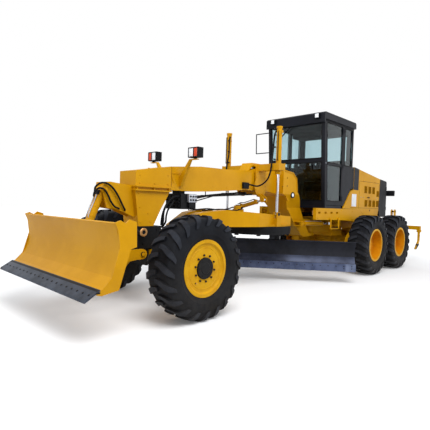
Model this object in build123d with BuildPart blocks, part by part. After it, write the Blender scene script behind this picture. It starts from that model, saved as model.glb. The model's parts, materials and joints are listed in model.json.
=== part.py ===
"""Motor grader with a front blade, an articulated frame, a slewing moldboard and a rear ripper.

Millimetres. +X points forward, +Y to the machine's left, +Z up. The origin is on the ground,
below the middle of the machine's bounding box.
"""
from build123d import *
from math import atan2, cos, degrees, hypot, radians, sin
import os

os.makedirs("parts", exist_ok=True)

# ---------------------------------------------------------------- driving dimensions
front_axle_x = 3619.0          # front axle from the origin
wheelbase = 6200.0             # front axle to the middle of the tandem
tandem_spacing = 1540.0        # between the two driven axles of a side
track = 2155.0                 # tyre centre to tyre centre
running_gap = 0.3              # between a turning or sliding piece and its seat
joint_gap = 8.0                # side gap between the cheeks of a clevis and its eye
panel = 6.0                    # pressed sheet and small plates
plate = 25.0                   # heavy welded plates

tandem_x = front_axle_x - wheelbase
hinge_x = front_axle_x - 4600.0            # articulation hinge
circle_x = front_axle_x - 2550.0           # middle of the circle
wheel_y = track / 2

# tyres and rims
tyre_radius = 675.0
tyre_width = 445.0
bead_radius = 338.0
rim_width = 356.0
rim_flange = 30.0              # flange height above the bead seat
rim_wall = 12.0
hub_bore_radius = 70.0

# front axle
axle_depth = 190.0
axle_thickness = 150.0
lean_y = 640.0                 # wheel-lean pivots from the middle
lean_pin_radius = 30.0
kingpin_y = 775.0
kingpin_radius = 28.0
knuckle_height = 200.0

# front frame
beam_half_width = 170.0
nose_half_width = 200.0
neck_half_width = 235.0
head_half_width = 345.0
hinge_pin_radius = 45.0
hinge_boss_radius = 125.0
upper_hinge = (1150.0, 1225.0)             # bottom and top of the neck's upper hinge plate
lower_hinge = (842.0, 915.0)

# rear frame
rail_outer_y = 720.0
rail_thickness = 70.0
rail_top = 1480.0
rail_bottom = 1240.0
frame_half_width = 400.0
frame_bottom = 1010.0
frame_top = 1290.0

# tandem cases
case_height = 500.0
case_inner_y = 620.0
case_outer_y = 815.0
axle_tube_radius = 165.0

# cab
cab_half_width = 715.0
cab_floor_z = 1500.0
cab_wall = 45.0
cab_roof_top = 3470.0
cab_roof_thick = 140.0
cab_roof_z = cab_roof_top - cab_roof_thick
visor_drop = 75.0              # the roof's front lip below its underside
cab_front_x = front_axle_x - 3995.0        # foot of the front wall
cab_front_top_x = front_axle_x - 3870.0    # top of the front wall
cab_rear_x = front_axle_x - 5235.0
door_post_x = front_axle_x - 4765.0        # middle of the post behind the door
door_gap = 8.0
glass = 8.0

# hood
hood_half_width = 720.0
hood_wall = 30.0

# circle and moldboard
circle_radius = 700.0
blade_angle = 39.0             # turned from square, left end to the rear
blade_length = 3660.0
blade_height = 580.0
blade_bottom = 240.0
blade_offset = 230.0           # blade behind the middle of the circle
blade_shift = 0.0              # filled below, so that both ends lie as far from the middle

# ---------------------------------------------------------------- placing helpers


def side_plane(y):
    """Plane of a side view at a distance y from the middle: drawn in X and Z."""
    return Plane(origin=(0, y, 0), x_dir=(1, 0, 0), z_dir=(0, -1, 0))


def cross_plane(x):
    """Plane across the machine: drawn in Y and Z."""
    return Plane(origin=(x, 0, 0), x_dir=(0, 1, 0), z_dir=(1, 0, 0))


def side_slab(outline, y_low, y_high):
    """Slab with a side-view outline, from y_low to y_high."""
    with BuildSketch(side_plane(y_high)) as profile:
        with BuildLine():
            Polyline(*outline, close=True)
        make_face()
    extrude(profile.sketch, amount=y_high - y_low)


def cut_side_slab(outline, y_low, y_high):
    """The same slab taken away."""
    with BuildSketch(side_plane(y_high)) as profile:
        with BuildLine():
            Polyline(*outline, close=True)
        make_face()
    extrude(profile.sketch, amount=y_high - y_low, mode=Mode.SUBTRACT)


def block(x_range, y_range, z_range, mode=Mode.ADD):
    """Box between two x, two y and two z values."""
    sizes = [abs(r[1] - r[0]) for r in (x_range, y_range, z_range)]
    middle = [(r[0] + r[1]) / 2 for r in (x_range, y_range, z_range)]
    with Locations(Location(tuple(middle))):
        Box(*sizes, mode=mode)


def bar(start, end, radius, mode=Mode.ADD):
    """Round bar from start to end."""
    axis = Vector(*end) - Vector(*start)
    with Locations(Plane(origin=start, z_dir=axis).location):
        Cylinder(radius, axis.length, align=(Align.CENTER, Align.CENTER, Align.MIN), mode=mode)


def fa(x):
    """Row position of a point given from the front axle, forward positive."""
    return front_axle_x + x


def outline_at_front_axle(points):
    return [(fa(x), z) for x, z in points]


def cross_slab(outline, x_low, x_high):
    """Slab with an outline drawn across the machine, from x_low to x_high."""
    with BuildSketch(cross_plane(x_low)) as profile:
        with BuildLine():
            Polyline(*outline, close=True)
        make_face()
    extrude(profile.sketch, amount=x_high - x_low)


def eye(x, z, radius, y_low, y_high):
    """Round boss lying across the machine."""
    bar((x, y_low, z), (x, y_high, z), radius)


def bore(x, z, radius, y_low, y_high):
    bar((x, y_low, z), (x, y_high, z), radius, mode=Mode.SUBTRACT)


def save(piece, name):
    piece.part.label = name
    export_step(piece.part, f"parts/{name}.step")


# ---------------------------------------------------------------- wheels
# columns: name, x, side (+1 left, -1 right), driven
wheels = [
    ("front_left", front_axle_x, 1, False),
    ("front_right", front_axle_x, -1, False),
    ("middle_left", tandem_x + tandem_spacing / 2, 1, True),
    ("middle_right", tandem_x + tandem_spacing / 2, -1, True),
    ("rear_left", tandem_x - tandem_spacing / 2, 1, True),
    ("rear_right", tandem_x - tandem_spacing / 2, -1, True),
]
half_rim = rim_width / 2
rim_lip_radius = bead_radius + rim_flange
rim_drum_radius = bead_radius - rim_wall
disc_thickness = 16.0
front_disc_out = 152.0         # outer face of the front disc from the wheel's middle
rear_disc_out = -46.0          # the driven wheels' discs are dished deep
hub_radius = 137.0
hub_front_out = 172.0
hub_rear_out = 26.0
hub_wall = 24.0
hub_front_in = -130.0
hub_rear_in = -120.0


def wheel_plane(x, side):
    """Plane through a wheel's axis: drawn from the wheel's middle outwards and upwards."""
    return Plane(origin=(x, side * wheel_y, tyre_radius), x_dir=(0, side, 0), z_dir=(side, 0, 0))


lugs = 20                      # on each half of the tread, staggered
lug_height = 30.0
tread_half = 196.0
shoulder_radius = 636.0
bulge_radius = 505.0           # where the wall is widest
# columns: share of a lug's pitch, height above the tread's floor
lug_profile = [(0.0, 0.0), (0.08, 1.0), (0.50, 1.0), (0.58, 0.0)]


def lug_outline(stagger):
    """Outline of the tread seen along the axle: a toothed ring of lugs."""
    points = []
    for number in range(lugs):
        for share, height in lug_profile:
            turn = radians(360 * (number + share + stagger) / lugs)
            radius = tyre_radius - lug_height * (1 - height)
            points.append((radius * cos(turn), radius * sin(turn)))
    return points


def across_wheel(x, y):
    """Plane across an axle at a distance y from the machine's middle, facing left."""
    return Plane(origin=(x, y, tyre_radius), x_dir=(-1, 0, 0), z_dir=(0, 1, 0))


for name, x, side, driven in wheels:
    axis = Axis((x, side * wheel_y, tyre_radius), (0, 1, 0))
    seat_half = half_rim - rim_wall - running_gap
    side_half = tyre_width / 2
    with BuildPart() as tyre:
        for half in (1, -1):
            inner, outer = sorted((0, half * tread_half))
            with BuildSketch(across_wheel(x, side * wheel_y + inner)) as tread:
                with BuildLine():
                    Polyline(*lug_outline(0.5 if half > 0 else 0.0), close=True)
                make_face()
            extrude(tread.sketch, amount=outer - inner)
            # columns: distances from the wheel's middle and radii of a wall's two rings, added or taken away
            walls = [
                ((tread_half, shoulder_radius), (side_half, bulge_radius), Mode.ADD),
                ((seat_half, rim_lip_radius + 9), (side_half, bulge_radius), Mode.SUBTRACT),
            ]
            for start, end, mode in walls:
                rings = []
                for out, radius in (start, end):
                    with BuildSketch(across_wheel(x, side * wheel_y + half * out)) as ring:
                        RegularPolygon(radius, lugs)
                    rings.append(ring.sketch)
                loft(rings, ruled=True, mode=mode)
        with BuildSketch(across_wheel(x, side * wheel_y - side_half - 5)) as seat:
            RegularPolygon(bead_radius + running_gap, lugs // 2, major_radius=False)
        extrude(seat.sketch, amount=2 * side_half + 10, mode=Mode.SUBTRACT)
    save(tyre, f"tyre_{name}")

    disc = rear_disc_out if driven else front_disc_out
    hub_out = hub_rear_out if driven else hub_front_out
    hub_in = hub_rear_in if driven else hub_front_in
    with BuildPart() as rim:
        with BuildSketch(wheel_plane(x, side)):
            with BuildLine():
                Polyline(
                    (-half_rim, rim_drum_radius),
                    (-half_rim, rim_lip_radius),
                    (rim_wall - half_rim, rim_lip_radius),
                    (rim_wall - half_rim, bead_radius),
                    (half_rim - rim_wall, bead_radius),
                    (half_rim - rim_wall, rim_lip_radius),
                    (half_rim, rim_lip_radius),
                    (half_rim, rim_drum_radius),
                    (min(disc + 24, half_rim - 8), rim_drum_radius),
                    (disc, rim_drum_radius - 22),
                    (disc, hub_radius),
                    (hub_out, hub_radius - 6),
                    (hub_out, 0),
                    (hub_out - hub_wall, 0),
                    (hub_out - hub_wall, hub_bore_radius + running_gap),
                    (hub_in, hub_bore_radius + running_gap),
                    (hub_in, hub_radius - 10),
                    (disc - disc_thickness, hub_radius - 6),
                    (disc - disc_thickness, rim_drum_radius - 24),
                    (disc - disc_thickness - 10, rim_drum_radius),
                    close=True,
                )
            make_face()
        revolve(axis=axis)
    save(rim, f"rim_{name}")

# ---------------------------------------------------------------- front axle and knuckles
fork_ear = 46.0
fork_half = knuckle_height / 2 + 4.0
kingpin_boss = 58.0
fork_web = (660.0, 706.0)
axle_low, axle_high = tyre_radius - 75, tyre_radius + axle_depth - 75
axle_mid = tyre_radius + 15

with BuildPart() as front_axle:
    cross_slab(
        [
            (-fork_web[1], tyre_radius - fork_half - fork_ear), (-420, axle_low), (420, axle_low),
            (fork_web[1], tyre_radius - fork_half - fork_ear), (fork_web[1], tyre_radius + fork_half + fork_ear),
            (fork_web[0] - 60, tyre_radius + fork_half + fork_ear), (430, axle_high), (0, axle_high + 25),
            (-430, axle_high), (60 - fork_web[0], tyre_radius + fork_half + fork_ear),
            (-fork_web[1], tyre_radius + fork_half + fork_ear),
        ],
        fa(-axle_thickness / 2), fa(axle_thickness / 2),
    )
    for side in (1, -1):
        for ear_z in (tyre_radius - fork_half - fork_ear, tyre_radius + fork_half):
            block(
                (fa(-55), fa(55)), (side * fork_web[0], side * kingpin_y), (ear_z, ear_z + fork_ear)
            )
            bar((fa(0), side * kingpin_y, ear_z), (fa(0), side * kingpin_y, ear_z + fork_ear), kingpin_boss)
        bar(
            (fa(0), side * kingpin_y, tyre_radius - fork_half - fork_ear - 8),
            (fa(0), side * kingpin_y, tyre_radius + fork_half + fork_ear + 8),
            kingpin_radius,
        )
    bar((fa(-135), 0, axle_mid), (fa(135), 0, axle_mid), 48)
save(front_axle, "front_axle")

for name, side in (("left", 1), ("right", -1)):
    with BuildPart() as knuckle:
        bar(
            (fa(0), side * kingpin_y, tyre_radius - knuckle_height / 2),
            (fa(0), side * kingpin_y, tyre_radius + knuckle_height / 2),
            kingpin_boss - 8,
        )
        bar(
            (fa(0), side * kingpin_y, tyre_radius),
            (fa(0), side * (wheel_y + hub_front_out - hub_wall - running_gap), tyre_radius),
            hub_bore_radius,
        )
        bar(
            (fa(0), side * kingpin_y, tyre_radius - knuckle_height / 2),
            (fa(0), side * kingpin_y, tyre_radius + knuckle_height / 2),
            kingpin_radius + running_gap,
            mode=Mode.SUBTRACT,
        )
    save(knuckle, f"knuckle_{name}")

# ---------------------------------------------------------------- front frame
column_half_width = 182.0
nose_split_x = -262.0
bracket_half_width = 175.0
blade_pin = (240.0, 760.0)         # push-arm pivots, from the front axle
blade_pin_radius = 34.0
arm_inner_y, arm_outer_y = 190.0, 232.0
blade_ram_top = (765.0, 1640.0)    # upper pin of the front blade's cylinder
ram_lug_inner = 78.0
ram_lug_outer = 104.0

ball = (-330.0, 1000.0)            # ball of the drawbar, from the front axle
ball_radius = 55.0
ball_pin_radius = 26.0             # cross pin that the drawbar rocks on

with BuildPart() as axle_bracket:
    side_slab(
        outline_at_front_axle([(290, 1150), (290, 700), (150, 700), (150, 830), (-115, 830), (-115, 1150)]),
        -bracket_half_width, bracket_half_width,
    )
    for x_range in ((fa(-122), fa(-axle_thickness / 2 - 7)), (fa(axle_thickness / 2 + 7), fa(122))):
        block(x_range, (-150, 150), (tyre_radius - 95, 900))
    bar((fa(-123), 0, axle_mid), (fa(123), 0, axle_mid), 48 + running_gap, mode=Mode.SUBTRACT)
    eye(fa(blade_pin[0]), blade_pin[1], blade_pin_radius, -arm_outer_y - 14, arm_outer_y + 14)
    eye(fa(250), 1070, 50, -250, 250)
    eye(fa(250), 1070, 34, -258, 258)
    block((fa(ball[0] - 15), fa(-100)), (-85, 85), (ball[1] - 80, ball[1] + 80))
    with Locations((fa(ball[0]), 0, ball[1])):
        Sphere(ball_radius + running_gap, mode=Mode.SUBTRACT)
    bore(fa(ball[0]), ball[1], ball_pin_radius + running_gap, -90, 90)
save(axle_bracket, "axle_bracket")

with BuildPart() as nose:
    side_slab(
        outline_at_front_axle([(368, 1722), (368, 1928), (nose_split_x, 2035), (nose_split_x, 1722)]),
        -nose_half_width, nose_half_width,
    )
    side_slab(
        outline_at_front_axle(
            [(360, 1722), (nose_split_x, 1722), (nose_split_x, 1668), (-227, 1607), (-103, 1410), (34, 1150),
             (290, 1150), (360, 1650)]
        ),
        -column_half_width, column_half_width,
    )
    for rib_low in (1704, 1650):
        block((fa(nose_split_x), fa(372)), (-nose_half_width - 20, nose_half_width + 20), (rib_low, rib_low + 18))
    for x_low in (-235, 40, 330):
        block((fa(x_low), fa(x_low + 16)), (-nose_half_width - 8, nose_half_width + 8), (1650, 1722))
    for side in (1, -1):
        side_slab(
            outline_at_front_axle(
                [(300, 1722), (470, 1726), (700, 1750), (790, 1742), (812, 1640), (745, 1400), (560, 1372),
                 (300, 1270)]
            ),
            min(side * ram_lug_inner, side * ram_lug_outer), max(side * ram_lug_inner, side * ram_lug_outer),
        )
    eye(fa(blade_ram_top[0]), blade_ram_top[1], 26, -ram_lug_outer - 8, ram_lug_outer + 8)
save(nose, "nose")

beam_end = -2985.0
lamp_x, lamp_y, lamp_z = -437.0, 506.0, 2245.0
ram_z = 1140.0                 # frame-steering cylinders
ram_eye = 46.0
ram_lug = 16.0
ram_front = (-3640.0, 400.0)   # pins on the neck, from the front axle and the middle
ram_rear = (-4600.0, 500.0)    # pins on the rear frame
with BuildPart() as main_beam:
    side_slab(
        outline_at_front_axle(
            [(nose_split_x, 1682), (nose_split_x, 2035), (-900, 2092), (-1500, 2100), (-2150, 2130),
             (-2420, 2205), (-2900, 2220), (beam_end, 2216), (beam_end, 1738), (-2700, 1772), (-2000, 1767),
             (-1140, 1700), (-760, 1682)]
        ),
        -beam_half_width, beam_half_width,
    )
    for side in (1, -1):
        with BuildSketch(cross_plane(fa(lamp_x - 45))) as strap:
            with BuildLine():
                Polyline(
                    (side * beam_half_width, 1745), (side * beam_half_width, 1880), (side * 395, 2150),
                    (side * 560, 2150), (side * 560, 2138), (side * 412, 2138), (side * (beam_half_width + 40), 1745),
                    close=True,
                )
            make_face()
        extrude(strap.sketch, amount=50)
save(main_beam, "main_beam")

# flange plates that stand out along the neck's edges: half width, outline
neck_flanges = [
    (head_half_width + 14, [(beam_end, 2200), (beam_end, 2216), (-3320, 2182), (-3460, 2070), (-3500, 1810),
                            (-3484, 1806), (-3446, 2062), (-3314, 2166)]),
    (head_half_width - 20, [(beam_end, 1738), (-3120, 1700), (-3200, 1597), (-3216, 1606), (-3128, 1716),
                            (beam_end, 1754)]),
    (neck_half_width + 12, [(-3335, 1420), (-3600, 1110), (-3860, 890), (-3868, 904), (-3612, 1120), (-3349, 1430)]),
]
with BuildPart() as neck:
    side_slab(
        outline_at_front_axle(
            [(beam_end, 1738), (beam_end, 2216), (-3320, 2182), (-3460, 2070), (-3500, 1810), (-3680, 1640),
             (-3820, 1455), (-3960, 1225), (-4200, 915), (-4200, 842), (-4070, 842), (-3860, 890),
             (-3600, 1110), (-3335, 1420), (-3120, 1700)]
        ),
        -head_half_width, head_half_width,
    )
    for side in (1, -1):
        with BuildSketch(cross_plane(fa(-4300))) as flank:
            with BuildLine():
                Polyline(
                    (side * (head_half_width + 5), 1740), (side * head_half_width, 1740),
                    (side * neck_half_width, 1470), (side * neck_half_width, 800),
                    (side * (head_half_width + 5), 800), close=True,
                )
            make_face()
        extrude(flank.sketch, amount=1400, mode=Mode.SUBTRACT)
    for half_width, outline in neck_flanges:
        side_slab(outline_at_front_axle(outline), -half_width, half_width)
    for low, high in (upper_hinge, lower_hinge):
        with BuildSketch(Plane.XY.offset(low)) as hinge_plate:
            with BuildLine():
                Polyline(
                    (fa(-3950), -neck_half_width), (fa(-3950), neck_half_width),
                    (fa(-4300), neck_half_width - 20), (hinge_x + 60, hinge_boss_radius - 12),
                    (hinge_x + 60, 12 - hinge_boss_radius), (fa(-4300), 20 - neck_half_width), close=True,
                )
            make_face()
            with Locations((hinge_x, 0)):
                Circle(hinge_boss_radius)
            with BuildLine():
                Polyline(
                    (hinge_x, hinge_boss_radius - 1), (hinge_x + 70, hinge_boss_radius - 12),
                    (hinge_x + 70, 12 - hinge_boss_radius), (hinge_x, 1 - hinge_boss_radius), close=True,
                )
            make_face()
            with Locations((hinge_x, 0)):
                Circle(hinge_pin_radius + running_gap, mode=Mode.SUBTRACT)
        extrude(hinge_plate.sketch, amount=high - low)
    for side in (1, -1):
        for low in (ram_z - ram_eye / 2 - joint_gap - ram_lug, ram_z + ram_eye / 2 + joint_gap):
            with BuildSketch(Plane.XY.offset(low)) as lug:
                with BuildLine():
                    Polyline(
                        (fa(ram_front[0] + 40), side * (neck_half_width - 30)),
                        (fa(ram_front[0] + 40), side * ram_front[1]),
                        (fa(ram_front[0] - 40), side * ram_front[1]),
                        (fa(ram_front[0] - 190), side * (neck_half_width - 30)), close=True,
                    )
                make_face()
                with Locations((fa(ram_front[0]), side * ram_front[1])):
                    Circle(44)
            extrude(lug.sketch, amount=ram_lug)
        pin_half = ram_eye / 2 + joint_gap + ram_lug + 6
        bar((fa(ram_front[0]), side * ram_front[1], ram_z - pin_half),
            (fa(ram_front[0]), side * ram_front[1], ram_z + pin_half), 20)
save(neck, "neck")

# saddle that carries the two lift cylinders and the centre-shift cylinder
saddle_x = -2415.0
saddle_half = 105.0
saddle_cheek = 36.0
hump_half_width = 120.0        # plate that arches over the beam
cheek_radius = 180.0
lift_y = 611.0
lift_trunnion_z = 2200.0
lift_barrel_radius = 48.0
lift_rod_radius = 23.0
yoke_plate = 24.0
yoke_gap = 12.0
trunnion_radius = 22.0
shift_saddle_pin = (300.0, 1600.0)         # y and z of the pin on the saddle
shift_drawbar_pin = (-330.0, 1440.0)       # y and z of the pin on the drawbar
shift_eye = 44.0
shift_ball_radius = 28.0
shift_pin_direction = Vector(0.98973, 0.03519, -0.13856)   # leans so that the cylinder follows the drawbar

with BuildPart() as saddle:
    x_range = (fa(saddle_x - saddle_half), fa(saddle_x + saddle_half))
    for side in (1, -1):
        block(x_range, (side * beam_half_width, side * (beam_half_width + saddle_cheek)), (1690, 2262))
        block(
            (fa(saddle_x - 85), fa(saddle_x + 85)),
            (side * beam_half_width, side * (lift_y - lift_barrel_radius - yoke_gap)), (2140, 2262),
        )
        inner = lift_y - lift_barrel_radius - yoke_gap
        outer = lift_y + lift_barrel_radius + yoke_gap
        for y_low, y_high in ((inner - yoke_plate, inner), (outer, outer + yoke_plate)):
            block((fa(saddle_x - 100), fa(saddle_x + 100)), (side * y_low, side * y_high), (2140, 2262))
        for x_low in (saddle_x - 100, saddle_x + 76):
            block((fa(x_low), fa(x_low + 24)), (side * (inner - yoke_plate), side * (outer + yoke_plate)),
                  (2140, 2262))
    block(x_range, (-beam_half_width - saddle_cheek, beam_half_width + saddle_cheek), (2226, 2262))
    block(x_range, (-beam_half_width - saddle_cheek, beam_half_width + saddle_cheek), (1690, 1762))
    side_slab(
        outline_at_front_axle(
            [(saddle_x - 240, 2213), (saddle_x - 150, 2290), (saddle_x + 150, 2290), (saddle_x + 250, 2135),
             (saddle_x + 235, 2139), (saddle_x + 120, 2240), (saddle_x - 120, 2240), (saddle_x - 225, 2213)]
        ),
        -hump_half_width, hump_half_width,
    )
    for side in (1, -1):
        low, high = sorted((side * (beam_half_width + saddle_cheek), side * (beam_half_width + saddle_cheek + 18)))
        with BuildSketch(side_plane(high)) as cheek:
            with Locations((fa(saddle_x), 1850)):
                Circle(cheek_radius)
            with Locations((fa(saddle_x), 2000)):
                Rectangle(2 * cheek_radius - 60, 300)
        extrude(cheek.sketch, amount=high - low)
    for side in (1, -1):
        bar(
            (fa(saddle_x), side * (lift_y - 130), lift_trunnion_z),
            (fa(saddle_x), side * (lift_y + 130), lift_trunnion_z),
            trunnion_radius + running_gap, mode=Mode.SUBTRACT,
        )
        bar(
            (fa(saddle_x), side * lift_y, 2100), (fa(saddle_x), side * lift_y, 2300),
            lift_barrel_radius + yoke_gap, mode=Mode.SUBTRACT,
        )
    for x_low in (saddle_x - shift_eye / 2 - joint_gap - 24, saddle_x + shift_eye / 2 + joint_gap + 4):
        with BuildSketch(cross_plane(fa(x_low))) as ear:
            with BuildLine():
                Polyline(
                    (beam_half_width + 5, 1662), (beam_half_width + 5, 1760), (shift_saddle_pin[0] + 42, 1640),
                    (shift_saddle_pin[0] + 42, 1570), (shift_saddle_pin[0] + 10, 1552),
                    (shift_saddle_pin[0] - 38, 1565), (shift_saddle_pin[0] - 52, 1648), close=True,
                )
            make_face()
        extrude(ear.sketch, amount=20)
    shift_pin_middle = Vector(fa(saddle_x), shift_saddle_pin[0], shift_saddle_pin[1])
    bar(tuple(shift_pin_middle - shift_pin_direction * 56), tuple(shift_pin_middle + shift_pin_direction * 56), 18)
save(saddle, "saddle")

with BuildPart() as headlamps:
    for side in (1, -1):
        block((fa(lamp_x - 90), fa(lamp_x + 20)), (side * (lamp_y - 120), side * (lamp_y + 90)),
              (lamp_z - 75, lamp_z + 75))
        bar((fa(lamp_x - 20), side * lamp_y, 2150), (fa(lamp_x - 20), side * lamp_y, lamp_z - 60), 18)
save(headlamps, "headlamps")

with BuildPart() as hydraulics:
    block((fa(-760), fa(-450)), (-150, 215), (1400, 1640))
    block((fa(-640), fa(-520)), (-80, 80), (1620, 1682))
    bar((fa(-700), 120, 1600), (fa(-2290), 120, 1700), 16)
save(hydraulics, "hydraulics")

# ---------------------------------------------------------------- drawbar, circle and moldboard
lift_eye_z = 1345.0
lift_eye_radius = 36.0
lift_eye_thick = 34.0
rail_band = 130.0
drawbar_half_width = 580.0
circle_drive_x = -2045.0       # gearbox that turns the circle
circle_top = 1118.0
circle_height = 95.0
turn = radians(blade_angle)
along = Vector(-sin(turn), cos(turn), 0)       # along the blade, to its left end
ahead = Vector(cos(turn), sin(turn), 0)        # square to the blade, forwards
centre = Vector(circle_x, 0, 0)
blade_shift = blade_offset * sin(turn) / cos(turn)


def blade_plane(s):
    """Plane across the blade at a distance s to its left: drawn ahead and up."""
    return Plane(origin=centre + along * s, x_dir=ahead, z_dir=-along)


def blade_slab(outline, s_low, s_high):
    with BuildSketch(blade_plane(s_high)) as profile:
        with BuildLine():
            Polyline(*outline, close=True)
        make_face()
    extrude(profile.sketch, amount=s_high - s_low)


def blade_bar(a, z, radius, s_low, s_high, mode=Mode.ADD):
    start = centre + ahead * a + along * s_low + Vector(0, 0, z)
    end = centre + ahead * a + along * s_high + Vector(0, 0, z)
    bar(tuple(start), tuple(end), radius, mode=mode)


with BuildPart() as drawbar:
    with BuildSketch(Plane.XY.offset(900)) as rails:
        for side in (1, -1):
            with BuildLine():
                Polyline(
                    (fa(-420), 0), (fa(-420), side * 95), (fa(-1950), side * drawbar_half_width),
                    (fa(-2930), side * drawbar_half_width), (fa(-2930), side * (drawbar_half_width - rail_band)),
                    (fa(-1985), side * (drawbar_half_width - rail_band)), (fa(-640), 0), close=True,
                )
            make_face()
        for x_low in (-2930, -2480, -2110):
            with Locations((fa(x_low + 65), 0)):
                Rectangle(130, 2 * drawbar_half_width)
    extrude(rails.sketch, amount=600)
    cut_side_slab(
        outline_at_front_axle([(-300, 1100), (-870, 1345), (-1330, 1400), (-2930, 1302), (-3000, 1302),
                               (-3000, 1600), (-300, 1600)]),
        -700, 700,
    )
    cut_side_slab(
        outline_at_front_axle([(-300, 915), (-420, 905), (-1150, circle_top + running_gap),
                               (-3000, circle_top + running_gap), (-3000, 800), (-300, 800)]),
        -700, 700,
    )
    bar((fa(ball[0] - 160), 0, ball[1] + 5), (fa(ball[0]), 0, ball[1]), 42)
    with Locations((fa(ball[0]), 0, ball[1])):
        Sphere(ball_radius)
    eye(fa(ball[0]), ball[1], ball_pin_radius, -84, 84)
    with BuildSketch(Plane.XY.offset(circle_top + running_gap)) as shoe_plate:
        with Locations((circle_x, 0)):
            Circle(circle_radius - 40)
            Circle(circle_radius - 190, mode=Mode.SUBTRACT)
    extrude(shoe_plate.sketch, amount=34)
    for height, radius in ((1410, 105), (1480, 78)):
        bar((fa(circle_drive_x), 0, 1290), (fa(circle_drive_x), 0, height), radius)
    for side in (1, -1):
        block((fa(saddle_x - 60), fa(saddle_x + 60)), (side * 560, side * 665),
              (circle_top + running_gap, lift_eye_z - lift_eye_radius - 40))
        for y_low in (lift_y - lift_eye_thick / 2 - joint_gap - 22, lift_y + lift_eye_thick / 2 + joint_gap):
            side_slab(
                [(fa(saddle_x - 50), 1240), (fa(saddle_x - 38), lift_eye_z + 36), (fa(saddle_x + 38), lift_eye_z + 36),
                 (fa(saddle_x + 50), 1240)],
                min(side * y_low, side * (y_low + 22)), max(side * y_low, side * (y_low + 22)),
            )
    cross_slab(
        [(shift_drawbar_pin[0] - 70, 1130), (shift_drawbar_pin[0] - 42, shift_drawbar_pin[1] + 40),
         (shift_drawbar_pin[0] + 16, shift_drawbar_pin[1] + 40), (shift_drawbar_pin[0] + 20, 1130)],
        fa(saddle_x + shift_ball_radius + 14), fa(saddle_x + shift_ball_radius + 38),
    )
save(drawbar, "drawbar")

arm_s = 560.0                  # circle arms, either side of the middle of the circle
arm_half = 22.0
tip_pin = (-470.0, 600.0)      # pitch axis of the blade: ahead and up
tip_pin_radius = 26.0

circle_teeth = 64
tooth_depth = 24.0
# columns: share of a tooth's pitch, depth below the tooth's tip
tooth_profile = [(0.0, 0.0), (0.28, 0.0), (0.44, 1.0), (0.84, 1.0)]


def circle_tooth_outline():
    """Toothed hole of the circle."""
    points = []
    for number in range(circle_teeth):
        for share, depth in tooth_profile:
            angle = radians(360 * (number + share) / circle_teeth)
            radius = circle_radius - 140 + tooth_depth * depth
            points.append((circle_x + radius * cos(angle), radius * sin(angle)))
    return points


with BuildPart() as circle:
    with BuildSketch(Plane.XY.offset(circle_top - circle_height)) as ring:
        with Locations((circle_x, 0)):
            Circle(circle_radius)
        with BuildLine():
            Polyline(*circle_tooth_outline(), close=True)
        make_face(mode=Mode.SUBTRACT)
    extrude(ring.sketch, amount=circle_height)
    for s in (arm_s, -arm_s):
        blade_slab(
            [(-120, circle_top - circle_height + 10), (-560, circle_top - circle_height + 10),
             (-560, tip_pin[1] + 60), (tip_pin[0] - 55, tip_pin[1] - 55), (tip_pin[0] + 50, tip_pin[1] - 55),
             (tip_pin[0] + 60, tip_pin[1] + 120)],
            s - arm_half, s + arm_half,
        )
    for s in (arm_s, -arm_s):
        blade_bar(tip_pin[0], tip_pin[1], tip_pin_radius + running_gap, s - 60, s + 60, mode=Mode.SUBTRACT)
save(circle, "circle")

edge_height = 150.0
side_rod = (-400.0, 490.0)     # side-shift cylinder: ahead and up
side_rod_radius = 18.0
side_barrel_radius = 34.0
side_rod_inner = -80.0
rail_back = -blade_offset - 128
rail_top_low, rail_top_high = blade_bottom + blade_height - 175, blade_bottom + blade_height - 105
rail_low_low, rail_low_high = blade_bottom + 130, blade_bottom + 200
with BuildPart() as moldboard:
    left_end, right_end = blade_shift + blade_length / 2, blade_shift - blade_length / 2
    top = blade_bottom + blade_height
    with BuildSketch(blade_plane(left_end)) as section:
        with BuildLine() as face:
            ThreePointArc(
                (-blade_offset + 18, blade_bottom + 110), (-blade_offset - 78, blade_bottom + 330),
                (-blade_offset + 4, top),
            )
        trace(line_width=22)
    extrude(section.sketch, amount=blade_length)
    for low, high, low_a, high_a in (
        (rail_top_low, rail_top_high, -blade_offset - 70, -blade_offset - 52),
        (rail_low_low, rail_low_high, -blade_offset - 18, -blade_offset - 56),
    ):
        blade_slab(
            [(low_a, low), (high_a, high), (rail_back, high), (rail_back, low)],
            right_end + 120, left_end - 120,
        )
    blade_slab(
        [(-blade_offset - 60, side_rod[1] - 30), (-blade_offset - 60, side_rod[1] + 30),
         (side_rod[0] - 30, side_rod[1] + 30), (side_rod[0] - 30, side_rod[1] - 30)],
        left_end - 180, left_end - 150,
    )
    blade_bar(side_rod[0], side_rod[1], side_rod_radius, side_rod_inner, left_end - 160)
save(moldboard, "moldboard")

with BuildPart() as cutting_edge:
    blade_slab(
        [(-blade_offset + 44, blade_bottom), (-blade_offset + 62, blade_bottom),
         (-blade_offset + 42, blade_bottom + edge_height), (-blade_offset + 22, blade_bottom + edge_height)],
        right_end, left_end,
    )
save(cutting_edge, "cutting_edge")

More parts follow.
